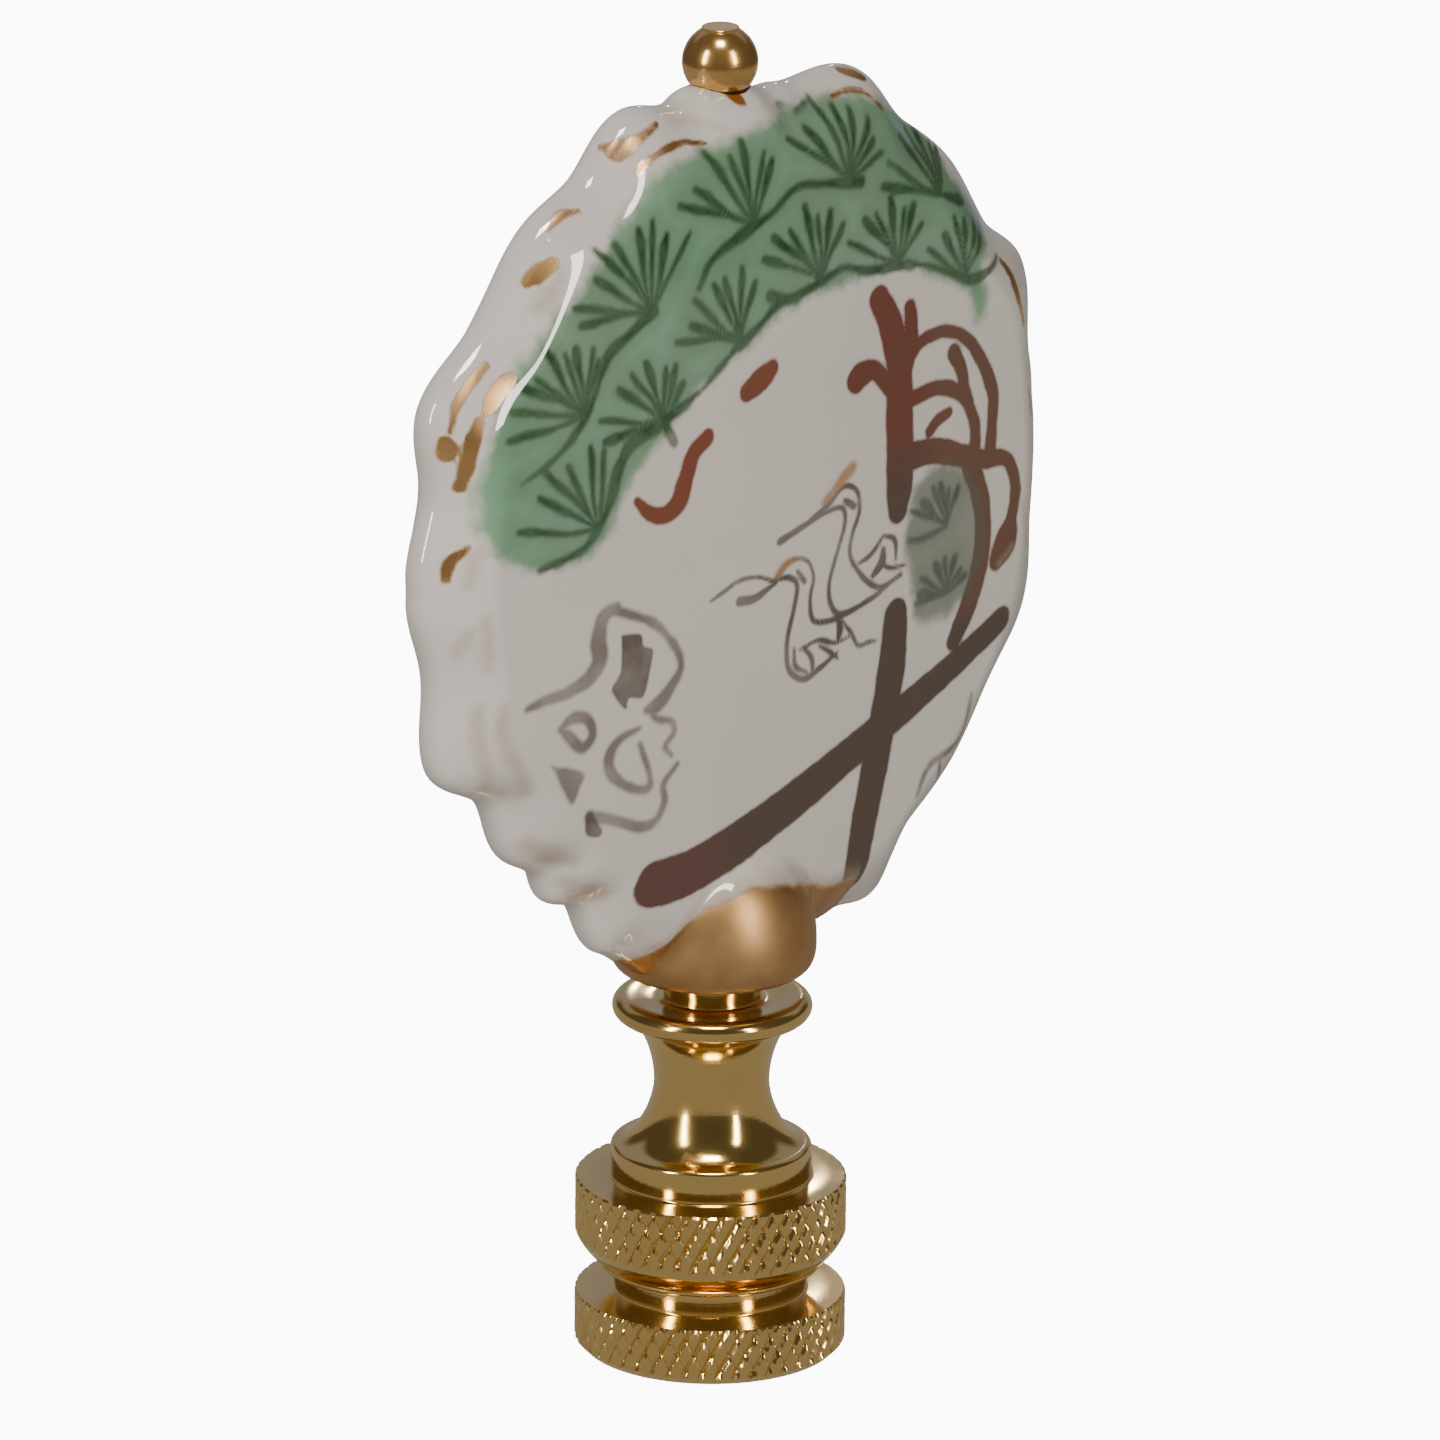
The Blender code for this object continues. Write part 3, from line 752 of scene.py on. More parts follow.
def outline_reach(turn):
    """Radius of the whole outline: the scalloped edge, or the foot where it reaches further."""
    heights = np.concatenate((FOOT_BOTTOM + FOOT_ROUND * (1 - np.cos(np.linspace(0, pi / 2, 30))),
                              np.linspace(FOOT_BOTTOM + FOOT_ROUND, FOOT_BOTTOM + FOOT_SEEN, 40)))
    side = foot_radius(heights)
    wall_turn = np.degrees(np.arctan2(side, -heights))
    wall_reach = np.hypot(side, heights)
    off = np.abs(np.mod(turn - 270 + 180, 360) - 180)
    under = -FOOT_BOTTOM / np.maximum(0.2, np.cos(np.radians(off)))
    foot = np.where(off < wall_turn[0], under, np.interp(off, wall_turn, wall_reach, right=0.0))
    return np.maximum(scalloped(turn), foot)


def half_thickness(x, z):
    """Half of the medallion's thickness at points of its face, in millimetres."""
    turn = np.degrees(np.arctan2(z, x))
    radius = np.hypot(x, z)
    edge, inner = scalloped(turn), face_edge(turn)
    inward = edge - radius
    off_ball = np.mod(turn - BALL_NOTCH + 180, 360) - 180
    rim = EDGE_THICKNESS / 2 + BOSS_THICKNESS / 2 * np.exp(-(off_ball / BOSS_SPREAD) ** 2)
    rounding = rim * EDGE_ROUNDING
    thick = np.sqrt(np.maximum(0, rim ** 2 - (rim - np.clip(inward, 0, rounding)) ** 2))
    slope = np.clip((inward - rounding) / (edge - inner - rounding), 0, 1)
    thick = thick + (RIDGE_THICKNESS / 2 - thick) * np.sin(pi / 2 * slope)
    middle = np.clip(1 - radius / inner, 0, 1)
    thick = thick + (CROWN_THICKNESS - RIDGE_THICKNESS) / 2 * (1 - (1 - middle) ** 2)
    foot = np.sqrt(np.maximum(0, foot_radius(z) ** 2 - x ** 2)) * (z < 0)
    mix = np.clip(0.5 + 0.5 * (foot - thick) / FOOT_BLEND, 0, 1)
    joined = thick + (foot - thick) * mix + FOOT_BLEND * mix * (1 - mix) * np.minimum(1, thick)
    return np.where(foot > 0, joined, thick)


COLUMNS = 816
FRONT_STEP = 0.15                   # between rings of the painted face
BACK_STEP = 0.34
FRONT_HALVING = 13.5                # radius where every second column ends, and again at half of it
BACK_HALVING = 30.0
EDGE_ROWS = 10                      # close rings over the rounded edge, out of the first
EDGE_BAND = 0.9                     # of the border


def side_rings(step, side, halving):
    """Rings of one side from the edge inwards, each an array of angles and of radii."""
    border = [EDGE_BAND * (i / EDGE_ROWS) ** 2 for i in range(EDGE_ROWS + 1)]
    border += list(np.arange(EDGE_BAND + step, BORDER_WIDTH - step / 2, step))
    rings = []
    turns = columns
    for inward in border:
        share = inward / BORDER_WIDTH
        outer = outline_reach(turns)
        rings.append((turns, outer + (face_edge(turns) - outer) * share))
        if inward > EDGE_BAND and side > 0 and len(turns) == COLUMNS:
            turns = turns[::2]
    count = round((DISC_R - BORDER_WIDTH) / step)
    for i in range(count):
        share = 1 - i / count
        if len(turns) > COLUMNS // 16 and DISC_R * share < halving * len(turns) / COLUMNS:
            turns = turns[::2]
        rings.append((turns, face_edge(turns) * share))
    return rings


# Columns stand closer where the outline or, a millimetre inside it, the foot's side is steep
fine_turns = np.arange(0, 360.0001, 0.02)
reach = outline_reach(fine_turns)
inset = reach - 1.0
across, up = np.cos(np.radians(fine_turns)), np.sin(np.radians(fine_turns))
depth = half_thickness(inset * across, inset * up)
length = np.hypot(np.diff(reach * across), np.diff(reach * up)) + 0.5 * np.abs(np.diff(depth))
run = np.concatenate(([0], np.cumsum(length)))
columns = np.interp(np.arange(COLUMNS) / COLUMNS * run[-1], run, fine_turns)

verts, faces, first_ring = [], [], {}
for side, step, halving in ((-1, FRONT_STEP, FRONT_HALVING), (1, BACK_STEP, BACK_HALVING)):
    previous = None
    for turns, radii in side_rings(step, side, halving):
        x, z = radii * np.cos(np.radians(turns)), radii * np.sin(np.radians(turns))
        y = side * half_thickness(x, z)
        start = len(verts)
        verts += list(zip(x * MM, y * MM, (z + disc_centre) * MM))
        ring = list(range(start, start + len(turns)))
        if previous:
            ratio = len(previous) // len(ring)
            for i in range(len(ring)):
                j = (i + 1) % len(ring)
                span = [previous[(i * ratio + k) % len(previous)] for k in range(ratio + 1)]
                if ratio == 1:
                    faces.append((span[0], span[1], ring[j], ring[i]))
                else:
                    faces += [(span[0], span[1], ring[i]), (span[1], ring[j], ring[i]),
                              (span[1], span[2], ring[j])]
        else:
            first_ring[side] = ring
        previous = ring
    hub = len(verts)
    verts.append((0.0, side * half_thickness(np.zeros(1), np.zeros(1))[0] * MM, disc_centre * MM))
    faces += [(previous[i], previous[(i + 1) % len(previous)], hub) for i in range(len(previous))]
front, back = first_ring[-1], first_ring[1]
for i in range(COLUMNS):
    j = (i + 1) % COLUMNS
    faces.append((front[i], front[j], back[j], back[i]))
cast = bpy.data.meshes.new("medallion")
cast.from_pydata(verts, [], faces)
bm = bmesh.new()
bm.from_mesh(cast)
bmesh.ops.remove_doubles(bm, verts=bm.verts, dist=1e-7)
bmesh.ops.dissolve_degenerate(bm, edges=bm.edges, dist=1e-8)
bmesh.ops.recalc_face_normals(bm, faces=bm.faces)
bpy.data.meshes.remove(cast)
medallion = piece("medallion", bm)

# Sockets for the spindle, and for the ball's neck and the ball's own underside
SOCKET_GAP = 0.3
SOCKET_RUN_OUT = 1.0
BALL_GAP = 0.03
BALL_SEAT_START = -38               # degrees below the ball's middle
ball_seat = [(BALL_NECK_R + BALL_GAP, ball_low.z / MM - SOCKET_GAP)]
for angle in range(BALL_SEAT_START, 1, 4):
    ball_seat.append(((BALL_R + BALL_GAP) * cos(radians(angle)),
                      ball_centre + (BALL_R + BALL_GAP) * sin(radians(angle))))
SOCKETS = (
    [(SPINDLE_R + SOCKET_GAP, foot_low - SOCKET_RUN_OUT),
     (SPINDLE_R + SOCKET_GAP, SPINDLE_TOP + SOCKET_GAP)],
    ball_seat,
)
for number, outline in enumerate(SOCKETS):
    bm = bmesh.new()
    lathe(bm, plain(outline, sides=64), ())
    cutter = piece(f"socket_cutter_{number}", bm)
    hole = medallion.modifiers.new("socket", "BOOLEAN")
    hole.operation = "DIFFERENCE"
    hole.solver = "EXACT"
    hole.object = cutter
plain_mesh(medallion, MEDALLION_CREASE)
for number in range(len(SOCKETS)):
    bpy.data.objects.remove(bpy.data.objects[f"socket_cutter_{number}"])


# The painting, in millimetres from the disc's centre. Each brush stroke is (x, z, half its
# width) along its way, and a point's paint is its distance to the nearest stroke's edge.
PAINT_REACH = 2.5                   # furthest distance from a stroke that is kept
PAINT_DEPTH = 3.0                   # and furthest inside it


def stroke(width, *way):
    """A brush stroke of one half width, narrowed at both ends."""
    inner = [(x, z, width) for x, z in way[1:-1]]
    return ((*way[0], width * 0.6), *inner, (*way[-1], width * 0.6))


def smooth_way(points, steps=6):
    """The points with a smooth curve through them."""
    points = np.array(points, float)
    padded = np.vstack((2 * points[0] - points[1], points, 2 * points[-1] - points[-2]))
    way = []
    for a, b, c, d in zip(padded, padded[1:], padded[2:], padded[3:]):
        for i in range(steps):
            t = i / steps
            way.append(0.5 * (2 * b + (c - a) * t + (2 * a - 5 * b + 4 * c - d) * t ** 2
                              + (3 * b - a - 3 * c + d) * t ** 3))
    way.append(points[-1])
    return np.array(way)


def brush(distance, spots, points):
    """Lowers each spot's distance to that from the stroke's edge, below zero inside it."""
    way = smooth_way(points) if len(points) > 2 else np.array(points, float)
    for start, end in zip(way, way[1:]):
        reach = PAINT_REACH + max(start[2], end[2])
        low, high = np.minimum(start, end)[:2] - reach, np.maximum(start, end)[:2] + reach
        near = np.flatnonzero(np.all((spots > low) & (spots < high), axis=1))
        along = end[:2] - start[:2]
        share = ((spots[near] - start[:2]) @ along) / max(1e-9, along @ along)
        share = np.clip(share, 0, 1)
        gap = np.linalg.norm(spots[near] - start[:2] - share[:, None] * along, axis=1)
        gap -= start[2] + (end[2] - start[2]) * share
        distance[near] = np.minimum(distance[near], gap)


def filled(spots, points):
    """Distance to the edge of a closed smooth shape, below zero inside it."""
    way = smooth_way([*points, points[0]])
    distance = np.full(len(spots), np.inf)
    inside = np.zeros(len(spots), bool)
    for (x0, z0), (x1, z1) in zip(way, way[1:]):
        along = np.array((x1 - x0, z1 - z0))
        share = np.clip(((spots - (x0, z0)) @ along) / max(1e-9, along @ along), 0, 1)
        distance = np.minimum(distance, np.hypot(spots[:, 0] - x0 - share * along[0],
                                                 spots[:, 1] - z0 - share * along[1]))
        crosses = (z0 > spots[:, 1]) != (z1 > spots[:, 1])
        rise = z1 - z0 if z1 != z0 else 1e-9
        inside ^= crosses & (spots[:, 0] < x0 + (spots[:, 1] - z0) * along[0] / rise)
    return np.where(inside, -distance, distance)


NEEDLE_ROOT = 0.13                  # half widths
NEEDLE_MIDDLE = 0.15
NEEDLE_TIP = 0.23
NEEDLE_WANDER = 3.0                 # degrees
NEEDLE_BEND = 0.035                 # share of its length
NEEDLE_UNEVEN = 0.16                # share by which some are shorter


def fan(x, z, first, last, long, short, count):
    """Pine needles spread from a twig's end, between two directions in degrees."""
    needles = []
    for i in range(count):
        share = i / (count - 1)
        turn = radians(first + (last - first) * share + NEEDLE_WANDER * sin(2.3 * i + x))
        shorter = NEEDLE_UNEVEN * (0.5 + 0.5 * sin(3.7 * i + z))
        reach = (long + (short - long) * share) * (1 - shorter)
        bend = NEEDLE_BEND * reach * sin(1.7 * i + x)
        tip = NEEDLE_TIP + 0.05 * sin(2.9 * i + z)
        across, up = cos(turn) * reach, sin(turn) * reach
        needles.append([(x, z, NEEDLE_ROOT),
                        (x + across * 0.4 - sin(turn) * bend, z + up * 0.4 + cos(turn) * bend,
                         NEEDLE_MIDDLE),
                        (x + across * 0.8, z + up * 0.8, tip),
                        (x + across, z + up, tip * 0.8)])
    return needles


FOLIAGE = (
    (3.9, 20.5), (7.9, 20.1), (12.0, 17.9), (13.1, 16.7), (13.6, 15.4), (15.5, 13.3), (16.1, 11.9),
    (15.0, 10.6), (15.2, 9.2), (15.0, 8.1), (14.3, 8.1), (13.7, 9.8), (11.9, 10.7), (9.5, 11.8),
    (7.0, 11.9), (3.6, 11.8), (0.9, 11.3), (-1.8, 10.1), (-5.1, 8.4), (-7.4, 6.7), (-9.1, 5.0),
    (-10.7, 2.8), (-13.0, 2.3), (-15.6, 2.7), (-17.0, 3.7), (-17.6, 5.4), (-17.3, 7.8),
    (-16.2, 10.5), (-14.3, 12.5), (-12.6, 14.0), (-10.8, 15.6), (-9.2, 17.0), (-7.3, 18.5),
    (-6.2, 19.3), (-3.6, 19.8), (-0.4, 20.1), (1.8, 20.4),
)
PINE_FANS = (
    # x, z, first and last direction in degrees, first and last length, needles
    (-0.6, 15.8, 160, 62, 5.4, 3.4, 7), (5.8, 16.7, 147, 18, 4.7, 2.4, 8),
    (12.1, 14.6, 164, 48, 4.9, 2.2, 7), (12.1, 14.6, -20, -24, 2.6, 2.4, 2),
    (-7.3, 13.1, 180, 54, 4.9, 4.1, 9), (-1.8, 10.6, 172, 68, 4.1, 3.3, 7),
    (-11.6, 9.1, 182, 66, 5.0, 2.9, 9), (-6.7, 7.9, 186, 50, 4.4, 2.2, 8),
    (-10.9, 3.6, 168, 64, 5.0, 3.7, 7), (3.7, 12.4, 157, 58, 4.4, 3.0, 7),
    (9.0, 12.0, 152, 44, 3.9, 2.6, 7), (13.7, 10.4, 142, 46, 3.2, 2.8, 6),
    (12.3, -1.3, 155, 66, 2.8, 1.8, 6), (12.4, -4.7, 170, 20, 2.3, 1.5, 7),
)
TWIGS = (
    ((-4.3, 13.6, 0.16), (-3.3, 14.8, 0.2), (-1.2, 15.6, 0.34), (0.5, 16.1, 0.2), (2.3, 17.0, 0.2),
     (4.0, 16.8, 0.22), (6.6, 16.4, 0.34)),
    ((0.3, 12.3, 0.3), (1.6, 11.9, 0.28), (3.7, 12.3, 0.26), (5.3, 12.6, 0.18), (6.9, 12.1, 0.26),
     (9.1, 11.9, 0.3), (10.9, 11.5, 0.16), (12.6, 10.8, 0.22), (14.4, 10.1, 0.3), (16.6, 10.6, 0.12)),
    ((-1.8, 10.4, 0.3), (-0.4, 11.1, 0.2), (0.8, 11.8, 0.26), (2.4, 11.9, 0.2)),
    ((-7.2, 13.1, 0.34), (-8.7, 12.3, 0.26), (-10.0, 11.6, 0.34), (-10.8, 10.2, 0.18),
     (-11.6, 8.9, 0.24), (-13.3, 7.5, 0.16), (-15.4, 6.6, 0.12)),
    ((-14.4, 2.3, 0.2), (-13.0, 2.5, 0.22), (-11.6, 2.9, 0.2), (-10.7, 3.8, 0.24), (-9.9, 5.0, 0.2),
     (-9.0, 7.0, 0.34), (-6.8, 7.8, 0.36), (-4.2, 8.9, 0.16), (-1.8, 10.5, 0.2)),
    ((-6.8, 7.9, 0.34), (-6.1, 6.7, 0.24)),
    ((3.3, 20.2, 0.08), (3.8, 20.3, 0.12), (4.3, 20.35, 0.1)),
    ((2.3, 20.7, 0.06), (2.7, 20.65, 0.08)),
    stroke(0.17, (9.6, -1.5), (10.7, -1.6), (12.3, -1.4)),
    stroke(0.17, (10.2, -4.7), (11.0, -4.7), (12.4, -4.7)),
)
LOOP_FOLIAGE = (
    (11.4, 1.9), (10.3, 1.3), (9.6, -0.1), (9.3, -1.7), (9.9, -3.5), (10.3, -5.5), (12.2, -5.9),
    (13.6, -5.3), (14.7, -4.2), (15.2, -2.6), (14.9, -0.8), (14.0, 0.7), (12.8, 1.6),
)

TRUNK = (
    ((7.6, 10.6, 0.7), (8.2, 9.6, 0.8), (8.6, 8.3, 0.85), (8.9, 7.0, 0.88), (8.9, 5.5, 0.95),
     (8.9, 3.7, 0.98), (8.9, 1.6, 0.95), (8.8, 0.2, 0.7)),
    ((8.8, -4.9, 0.85), (8.6, -7.6, 1.0), (8.0, -11.0, 1.0), (7.3, -14.5, 0.95), (6.9, -17.6, 0.8)),
    ((9.7, 9.8, 0.42), (9.8, 9.0, 0.5), (9.7, 7.9, 0.55), (9.2, 6.8, 0.6)),
    ((5.9, 7.1, 0.68), (6.3, 7.3, 0.66), (7.2, 7.3, 0.5), (8.3, 6.2, 0.5)),
    ((9.6, 7.4, 0.45), (10.3, 7.9, 0.38), (11.2, 8.1, 0.34), (12.5, 8.0, 0.34), (13.8, 7.3, 0.36),
     (14.9, 5.9, 0.42), (15.6, 4.4, 0.44), (15.6, 2.9, 0.42), (15.4, 1.5, 0.45)),
    ((12.8, 6.9, 0.5), (13.3, 6.0, 0.42), (13.6, 5.0, 0.36), (13.9, 4.2, 0.36)),
    ((9.6, 5.3, 0.42), (11.4, 5.5, 0.4), (12.8, 5.1, 0.4), (13.8, 4.2, 0.38), (14.3, 3.0, 0.42),
     (14.3, 1.6, 0.45)),
    ((11.0, 3.5, 0.34), (11.6, 3.9, 0.34), (12.4, 4.1, 0.3)),
    ((9.3, 2.6, 0.75), (11.2, 2.5, 0.66), (13.1, 1.9, 0.6), (15.1, 1.2, 0.5), (16.4, 1.0, 0.4),
     (17.1, 0.3, 0.4), (17.4, -0.9, 0.42), (17.1, -2.2, 0.45), (16.7, -3.2, 0.85), (16.1, -3.9, 0.6)),
    ((14.0, 1.2, 0.65), (14.7, -0.3, 0.62), (15.0, -1.9, 0.62), (14.9, -3.4, 0.65), (14.5, -4.8, 0.65),
     (13.8, -6.1, 0.65), (13.1, -7.2, 0.55)),
    ((16.6, -7.0, 0.66), (13.2, -8.4, 0.75), (9.8, -9.7, 0.85), (6.4, -10.9, 0.95),
     (2.6, -12.4, 1.05), (-1.2, -13.7, 1.15), (-4.4, -14.5, 1.2), (-6.6, -14.6, 1.2)),
)
BROWN_MARKS = (
    ((-1.4, 8.1, 0.5), (-0.5, 8.5, 0.62), (0.3, 8.9, 0.42)),
    ((-4.0, 6.5, 0.46), (-4.9, 5.9, 0.48), (-5.4, 4.9, 0.52), (-5.9, 3.8, 0.54), (-6.8, 3.4, 0.46),
     (-7.7, 3.7, 0.38), (-8.5, 4.4, 0.24)),
    # cement that ran out below the ball
    ((-0.25, 21.4, 0.2), (-0.42, 21.65, 0.36), (-0.5, 21.9, 0.42)),
)

INK = (
    # upper crane: bill, head, neck and back
    ((0.7, 0.5, 0.22), (2.3, 0.9, 0.17), (3.7, 1.2, 0.13), (4.9, 1.2, 0.14), (5.1, 0.4, 0.14),
     (4.6, -0.9, 0.14), (4.1, -2.2, 0.15), (4.2, -3.3, 0.16), (5.0, -4.0, 0.18), (7.0, -3.7, 0.16),
     (8.2, -3.3, 0.14)),
    ((2.6, 1.0, 0.14), (4.0, 1.6, 0.16), (5.0, 2.2, 0.15), (5.9, 1.8, 0.14), (6.1, 0.8, 0.14),
     (5.6, -0.3, 0.14), (5.5, -1.3, 0.14), (6.2, -2.3, 0.16), (7.0, -3.0, 0.18), (7.8, -3.3, 0.16),
     (9.1, -3.0, 0.14)),
    stroke(0.16, (6.1, -1.8), (7.0, -1.5), (7.8, -0.8)),
    stroke(0.3, (7.8, -1.5), (7.7, -2.1), (7.1, -2.6)),
    stroke(0.15, (7.5, -2.0), (8.3, -2.5), (9.4, -2.6)),
    stroke(0.16, (7.8, -0.8), (8.6, -1.2), (8.7, -2.2)),
    # lower crane: both halves of the bill, neck, breast and back
    stroke(0.12, (-3.8, -1.4), (-2.9, -1.1), (-1.9, -0.8), (-0.7, -0.9), (0.3, -1.3), (1.0, -1.3)),
    stroke(0.17, (0.6, -1.3), (1.4, -1.4), (1.9, -1.9), (1.7, -3.0), (1.3, -4.5), (1.5, -5.9),
           (2.5, -6.6), (3.6, -6.3), (4.8, -5.8)),
    ((-1.9, -1.8, 0.26), (-1.0, -1.9, 0.24), (0.0, -1.6, 0.16), (0.5, -1.4, 0.13)),
    ((0.4, -1.3, 0.12), (1.4, -0.6, 0.12), (2.5, -0.8, 0.12), (3.0, -1.7, 0.12), (2.8, -2.7, 0.13),
     (3.0, -3.8, 0.15), (3.9, -4.1, 0.16), (5.0, -4.1, 0.15)),
    stroke(0.15, (1.8, -4.9), (1.9, -5.8), (2.7, -6.3)),
    stroke(0.17, (2.4, -5.0), (3.0, -5.7), (3.1, -6.4)),
    stroke(0.16, (3.5, -5.2), (4.3, -5.7), (4.8, -6.1)),
    stroke(0.26, (4.8, -4.2), (4.9, -4.7), (4.8, -5.2)),
    stroke(0.14, (5.0, -4.3), (5.7, -5.1), (6.2, -5.8), (6.9, -5.8), (7.5, -5.9)),
    stroke(0.14, (2.2, -5.1), (3.4, -4.9), (4.6, -5.3), (5.7, -5.2)),
    # eyes
    ((5.1, 1.5, 0.16), (5.7, 1.1, 0.2)), ((1.9, -1.2, 0.13), (2.4, -1.8, 0.17)),
    # rock: the end of its lower line
    stroke(0.4, (-10.9, -10.3), (-10.7, -10.9), (-10.3, -11.2)),
)
ORANGE = (((3.6, 1.7, 0.14), (4.4, 2.2, 0.24), (5.1, 2.7, 0.32), (5.6, 3.0, 0.3)),
          ((0.5, -1.1, 0.14), (1.1, -0.7, 0.22), (1.8, -0.6, 0.12)))
ROCK = (
    ((-15.0, -4.2, 0.2), (-13.9, -4.0, 0.28), (-12.6, -3.9, 0.32), (-11.4, -3.5, 0.42),
     (-10.7, -2.8, 0.5), (-10.8, -1.7, 0.5), (-10.5, -0.7, 0.42), (-9.7, -0.4, 0.28)),
    ((-9.9, -0.5, 0.26), (-7.5, -1.6, 0.24), (-6.0, -3.1, 0.22), (-5.6, -4.2, 0.24),
     (-6.3, -5.1, 0.34), (-7.0, -5.7, 0.42), (-7.7, -5.8, 0.2)),
    stroke(0.2, (-7.6, -5.8), (-7.0, -6.4), (-6.1, -6.7), (-5.9, -7.3), (-6.4, -7.8), (-6.0, -8.4)),
    ((-5.6, -8.9, 0.14), (-6.4, -9.7, 0.2), (-6.3, -10.6, 0.22), (-6.8, -11.4, 0.26),
     (-7.8, -11.5, 0.3), (-9.4, -10.8, 0.28), (-10.9, -10.3, 0.34)),
    stroke(0.3, (-13.0, -5.6), (-12.2, -5.2), (-11.3, -5.5), (-11.0, -6.3), (-11.6, -6.8),
           (-12.4, -6.1), (-13.0, -5.6)),
    ((-8.1, -6.6, 0.16), (-9.3, -6.9, 0.26), (-9.9, -7.7, 0.36), (-9.6, -8.6, 0.32),
     (-8.5, -9.4, 0.24), (-7.4, -9.7, 0.24), (-7.3, -9.1, 0.2), (-7.7, -8.1, 0.18),
     (-8.0, -7.4, 0.16)),
    stroke(0.2, (14.6, -10.3), (14.0, -12.4), (11.8, -13.1), (11.0, -14.4)),
    stroke(0.2, (12.4, -12.9), (13.2, -14.4), (15.6, -15.3), (16.6, -13.6)),
)
DARK_ROCK = (
    (-9.4, -1.8), (-8.2, -2.0), (-8.0, -2.6), (-7.4, -2.9), (-7.5, -3.7), (-7.9, -5.1),
    (-8.8, -5.0), (-9.0, -5.5), (-9.8, -4.6), (-9.9, -4.2), (-9.4, -3.5),
)
GREY_ROCK = (
    (-13.4, -7.3), (-12.4, -7.6), (-11.4, -8.1), (-11.6, -8.8), (-12.0, -9.5), (-12.6, -8.7),
)
GILT_DASHES = (
    ((-7.7, 20.3, 0.4), (-7.2, 20.5, 0.34), (-6.5, 20.8, 0.18), (-5.3, 21.2, 0.12)),
    stroke(0.13, (-7.3, 19.3), (-6.6, 19.8), (-5.8, 20.1), (-4.5, 20.3), (-2.9, 20.0)),
    stroke(0.14, (-12.0, 17.5), (-11.0, 18.0), (-10.2, 18.1)),
    stroke(0.34, (-13.6, 15.4), (-12.9, 15.8), (-12.2, 16.2)),
    stroke(0.18, (-18.5, 9.4), (-18.1, 10.5), (-17.2, 11.4), (-16.2, 12.1)),
    stroke(0.4, (-18.7, 9.0), (-18.6, 8.6), (-18.6, 8.2)),
    stroke(0.32, (-18.1, 6.7), (-17.9, 8.0), (-17.7, 8.9), (-17.3, 9.8)),
    stroke(0.34, (-16.9, 10.2), (-16.3, 10.9), (-15.4, 11.6)),
    stroke(0.22, (-18.9, 2.5), (-18.7, 3.3), (-18.0, 4.0)),
    stroke(0.2, (7.2, 21.2), (8.0, 20.9), (8.7, 20.5)),
    stroke(0.14, (5.9, 20.3), (7.0, 20.4), (8.1, 20.1), (9.3, 19.0)),
    stroke(0.24, (16.9, 10.3), (17.4, 9.6), (17.8, 8.4), (18.2, 7.1)),
    stroke(0.2, (18.5, 3.8), (18.9, 2.5)),
)
TAN_DASHES = (
    stroke(0.1, (-4.3, 21.1), (-2.9, 20.9), (-1.7, 20.5)),
    stroke(0.26, (-13.6, 14.2), (-12.9, 14.8), (-12.2, 15.6)),
    stroke(0.26, (-18.1, 2.2), (-17.9, 3.1), (-17.5, 4.0)),
    stroke(0.26, (-18.3, -1.2), (-18.2, -0.6), (-18.0, 0.0)),
    stroke(0.3, (-17.1, -2.0), (-17.2, -0.6), (-17.4, 0.6)),
    stroke(0.34, (-17.3, -3.8), (-17.3, -5.4), (-16.4, -7.9)),
    stroke(0.36, (-16.3, -3.9), (-16.2, -5.5), (-14.4, -8.5)),
    stroke(0.5, (-13.7, -11.3), (-12.5, -12.0), (-11.1, -12.6)),
    stroke(0.5, (-11.2, -13.7), (-10.2, -14.3), (-9.0, -14.7)),
    stroke(0.2, (16.3, -4.2), (17.2, -3.6)),
    stroke(0.2, (17.9, -1.6), (18.5, -3.7)),
)

# Where the gilding of the foot ends
GILT_EDGE = (
    (-7.2, -19.0), (-5.4, -18.5), (-5.0, -18.1), (-4.6, -17.5), (-4.2, -17.1), (-3.5, -16.7),
    (-2.8, -16.4), (-2.1, -16.2), (-1.0, -15.9), (0.1, -16.0), (2.3, -16.5), (5.0, -17.6),
)
GILT_HALF_WIDTH = 7.4

# The small sprig on the back
BACK_FANS = ((-3.0, -1.5, 150, 30, 5.0, 4.2, 8), (3.5, 1.5, 140, 20, 4.6, 3.8, 8))
BACK_TWIG = stroke(0.36, (-7.0, -4.5), (-3.0, -1.6), (0.5, -0.4), (3.6, 1.4))
BACK_DASHES = ((1.3, 5.0, 0.24), (2.5, 4.2, 0.2))     # from the edge, half its angle, half its width
BARE_ABOVE_FOOT = 30                # degrees either side of the foot without dashes

COATS = ("wash", "needles", "brown", "ink", "grey", "orange", "gilt", "tan")

# Colours, and pairs of colours between which a paint wavers from patch to patch
GLAZE = ((0.57, 0.53, 0.505), (0.60, 0.56, 0.53))
MINT = ((0.138, 0.315, 0.18), (0.12, 0.265, 0.148))
MINT_IN_LOOPS = (0.20, 0.198, 0.175)
HALO_OF_NEEDLES = (0.115, 0.175, 0.12)
PINE = ((0.007, 0.042, 0.008), (0.024, 0.068, 0.022))
PINE_IN_LOOPS = (0.055, 0.068, 0.05)
TRUNK_RED = (0.12, 0.028, 0.013)
TRUNK_BROWN = (0.064, 0.041, 0.027)
BRANCH_END = (0.09, 0.036, 0.028)
LOOSE_STROKES = (0.16, 0.042, 0.016)
LOOPS_BROWN = (0.115, 0.05, 0.027)
THIN_BROWN = (0.09, 0.046, 0.028)
BROWN_OVER_MINT = (0.078, 0.08, 0.06)
CEMENT = (0.20, 0.07, 0.012)
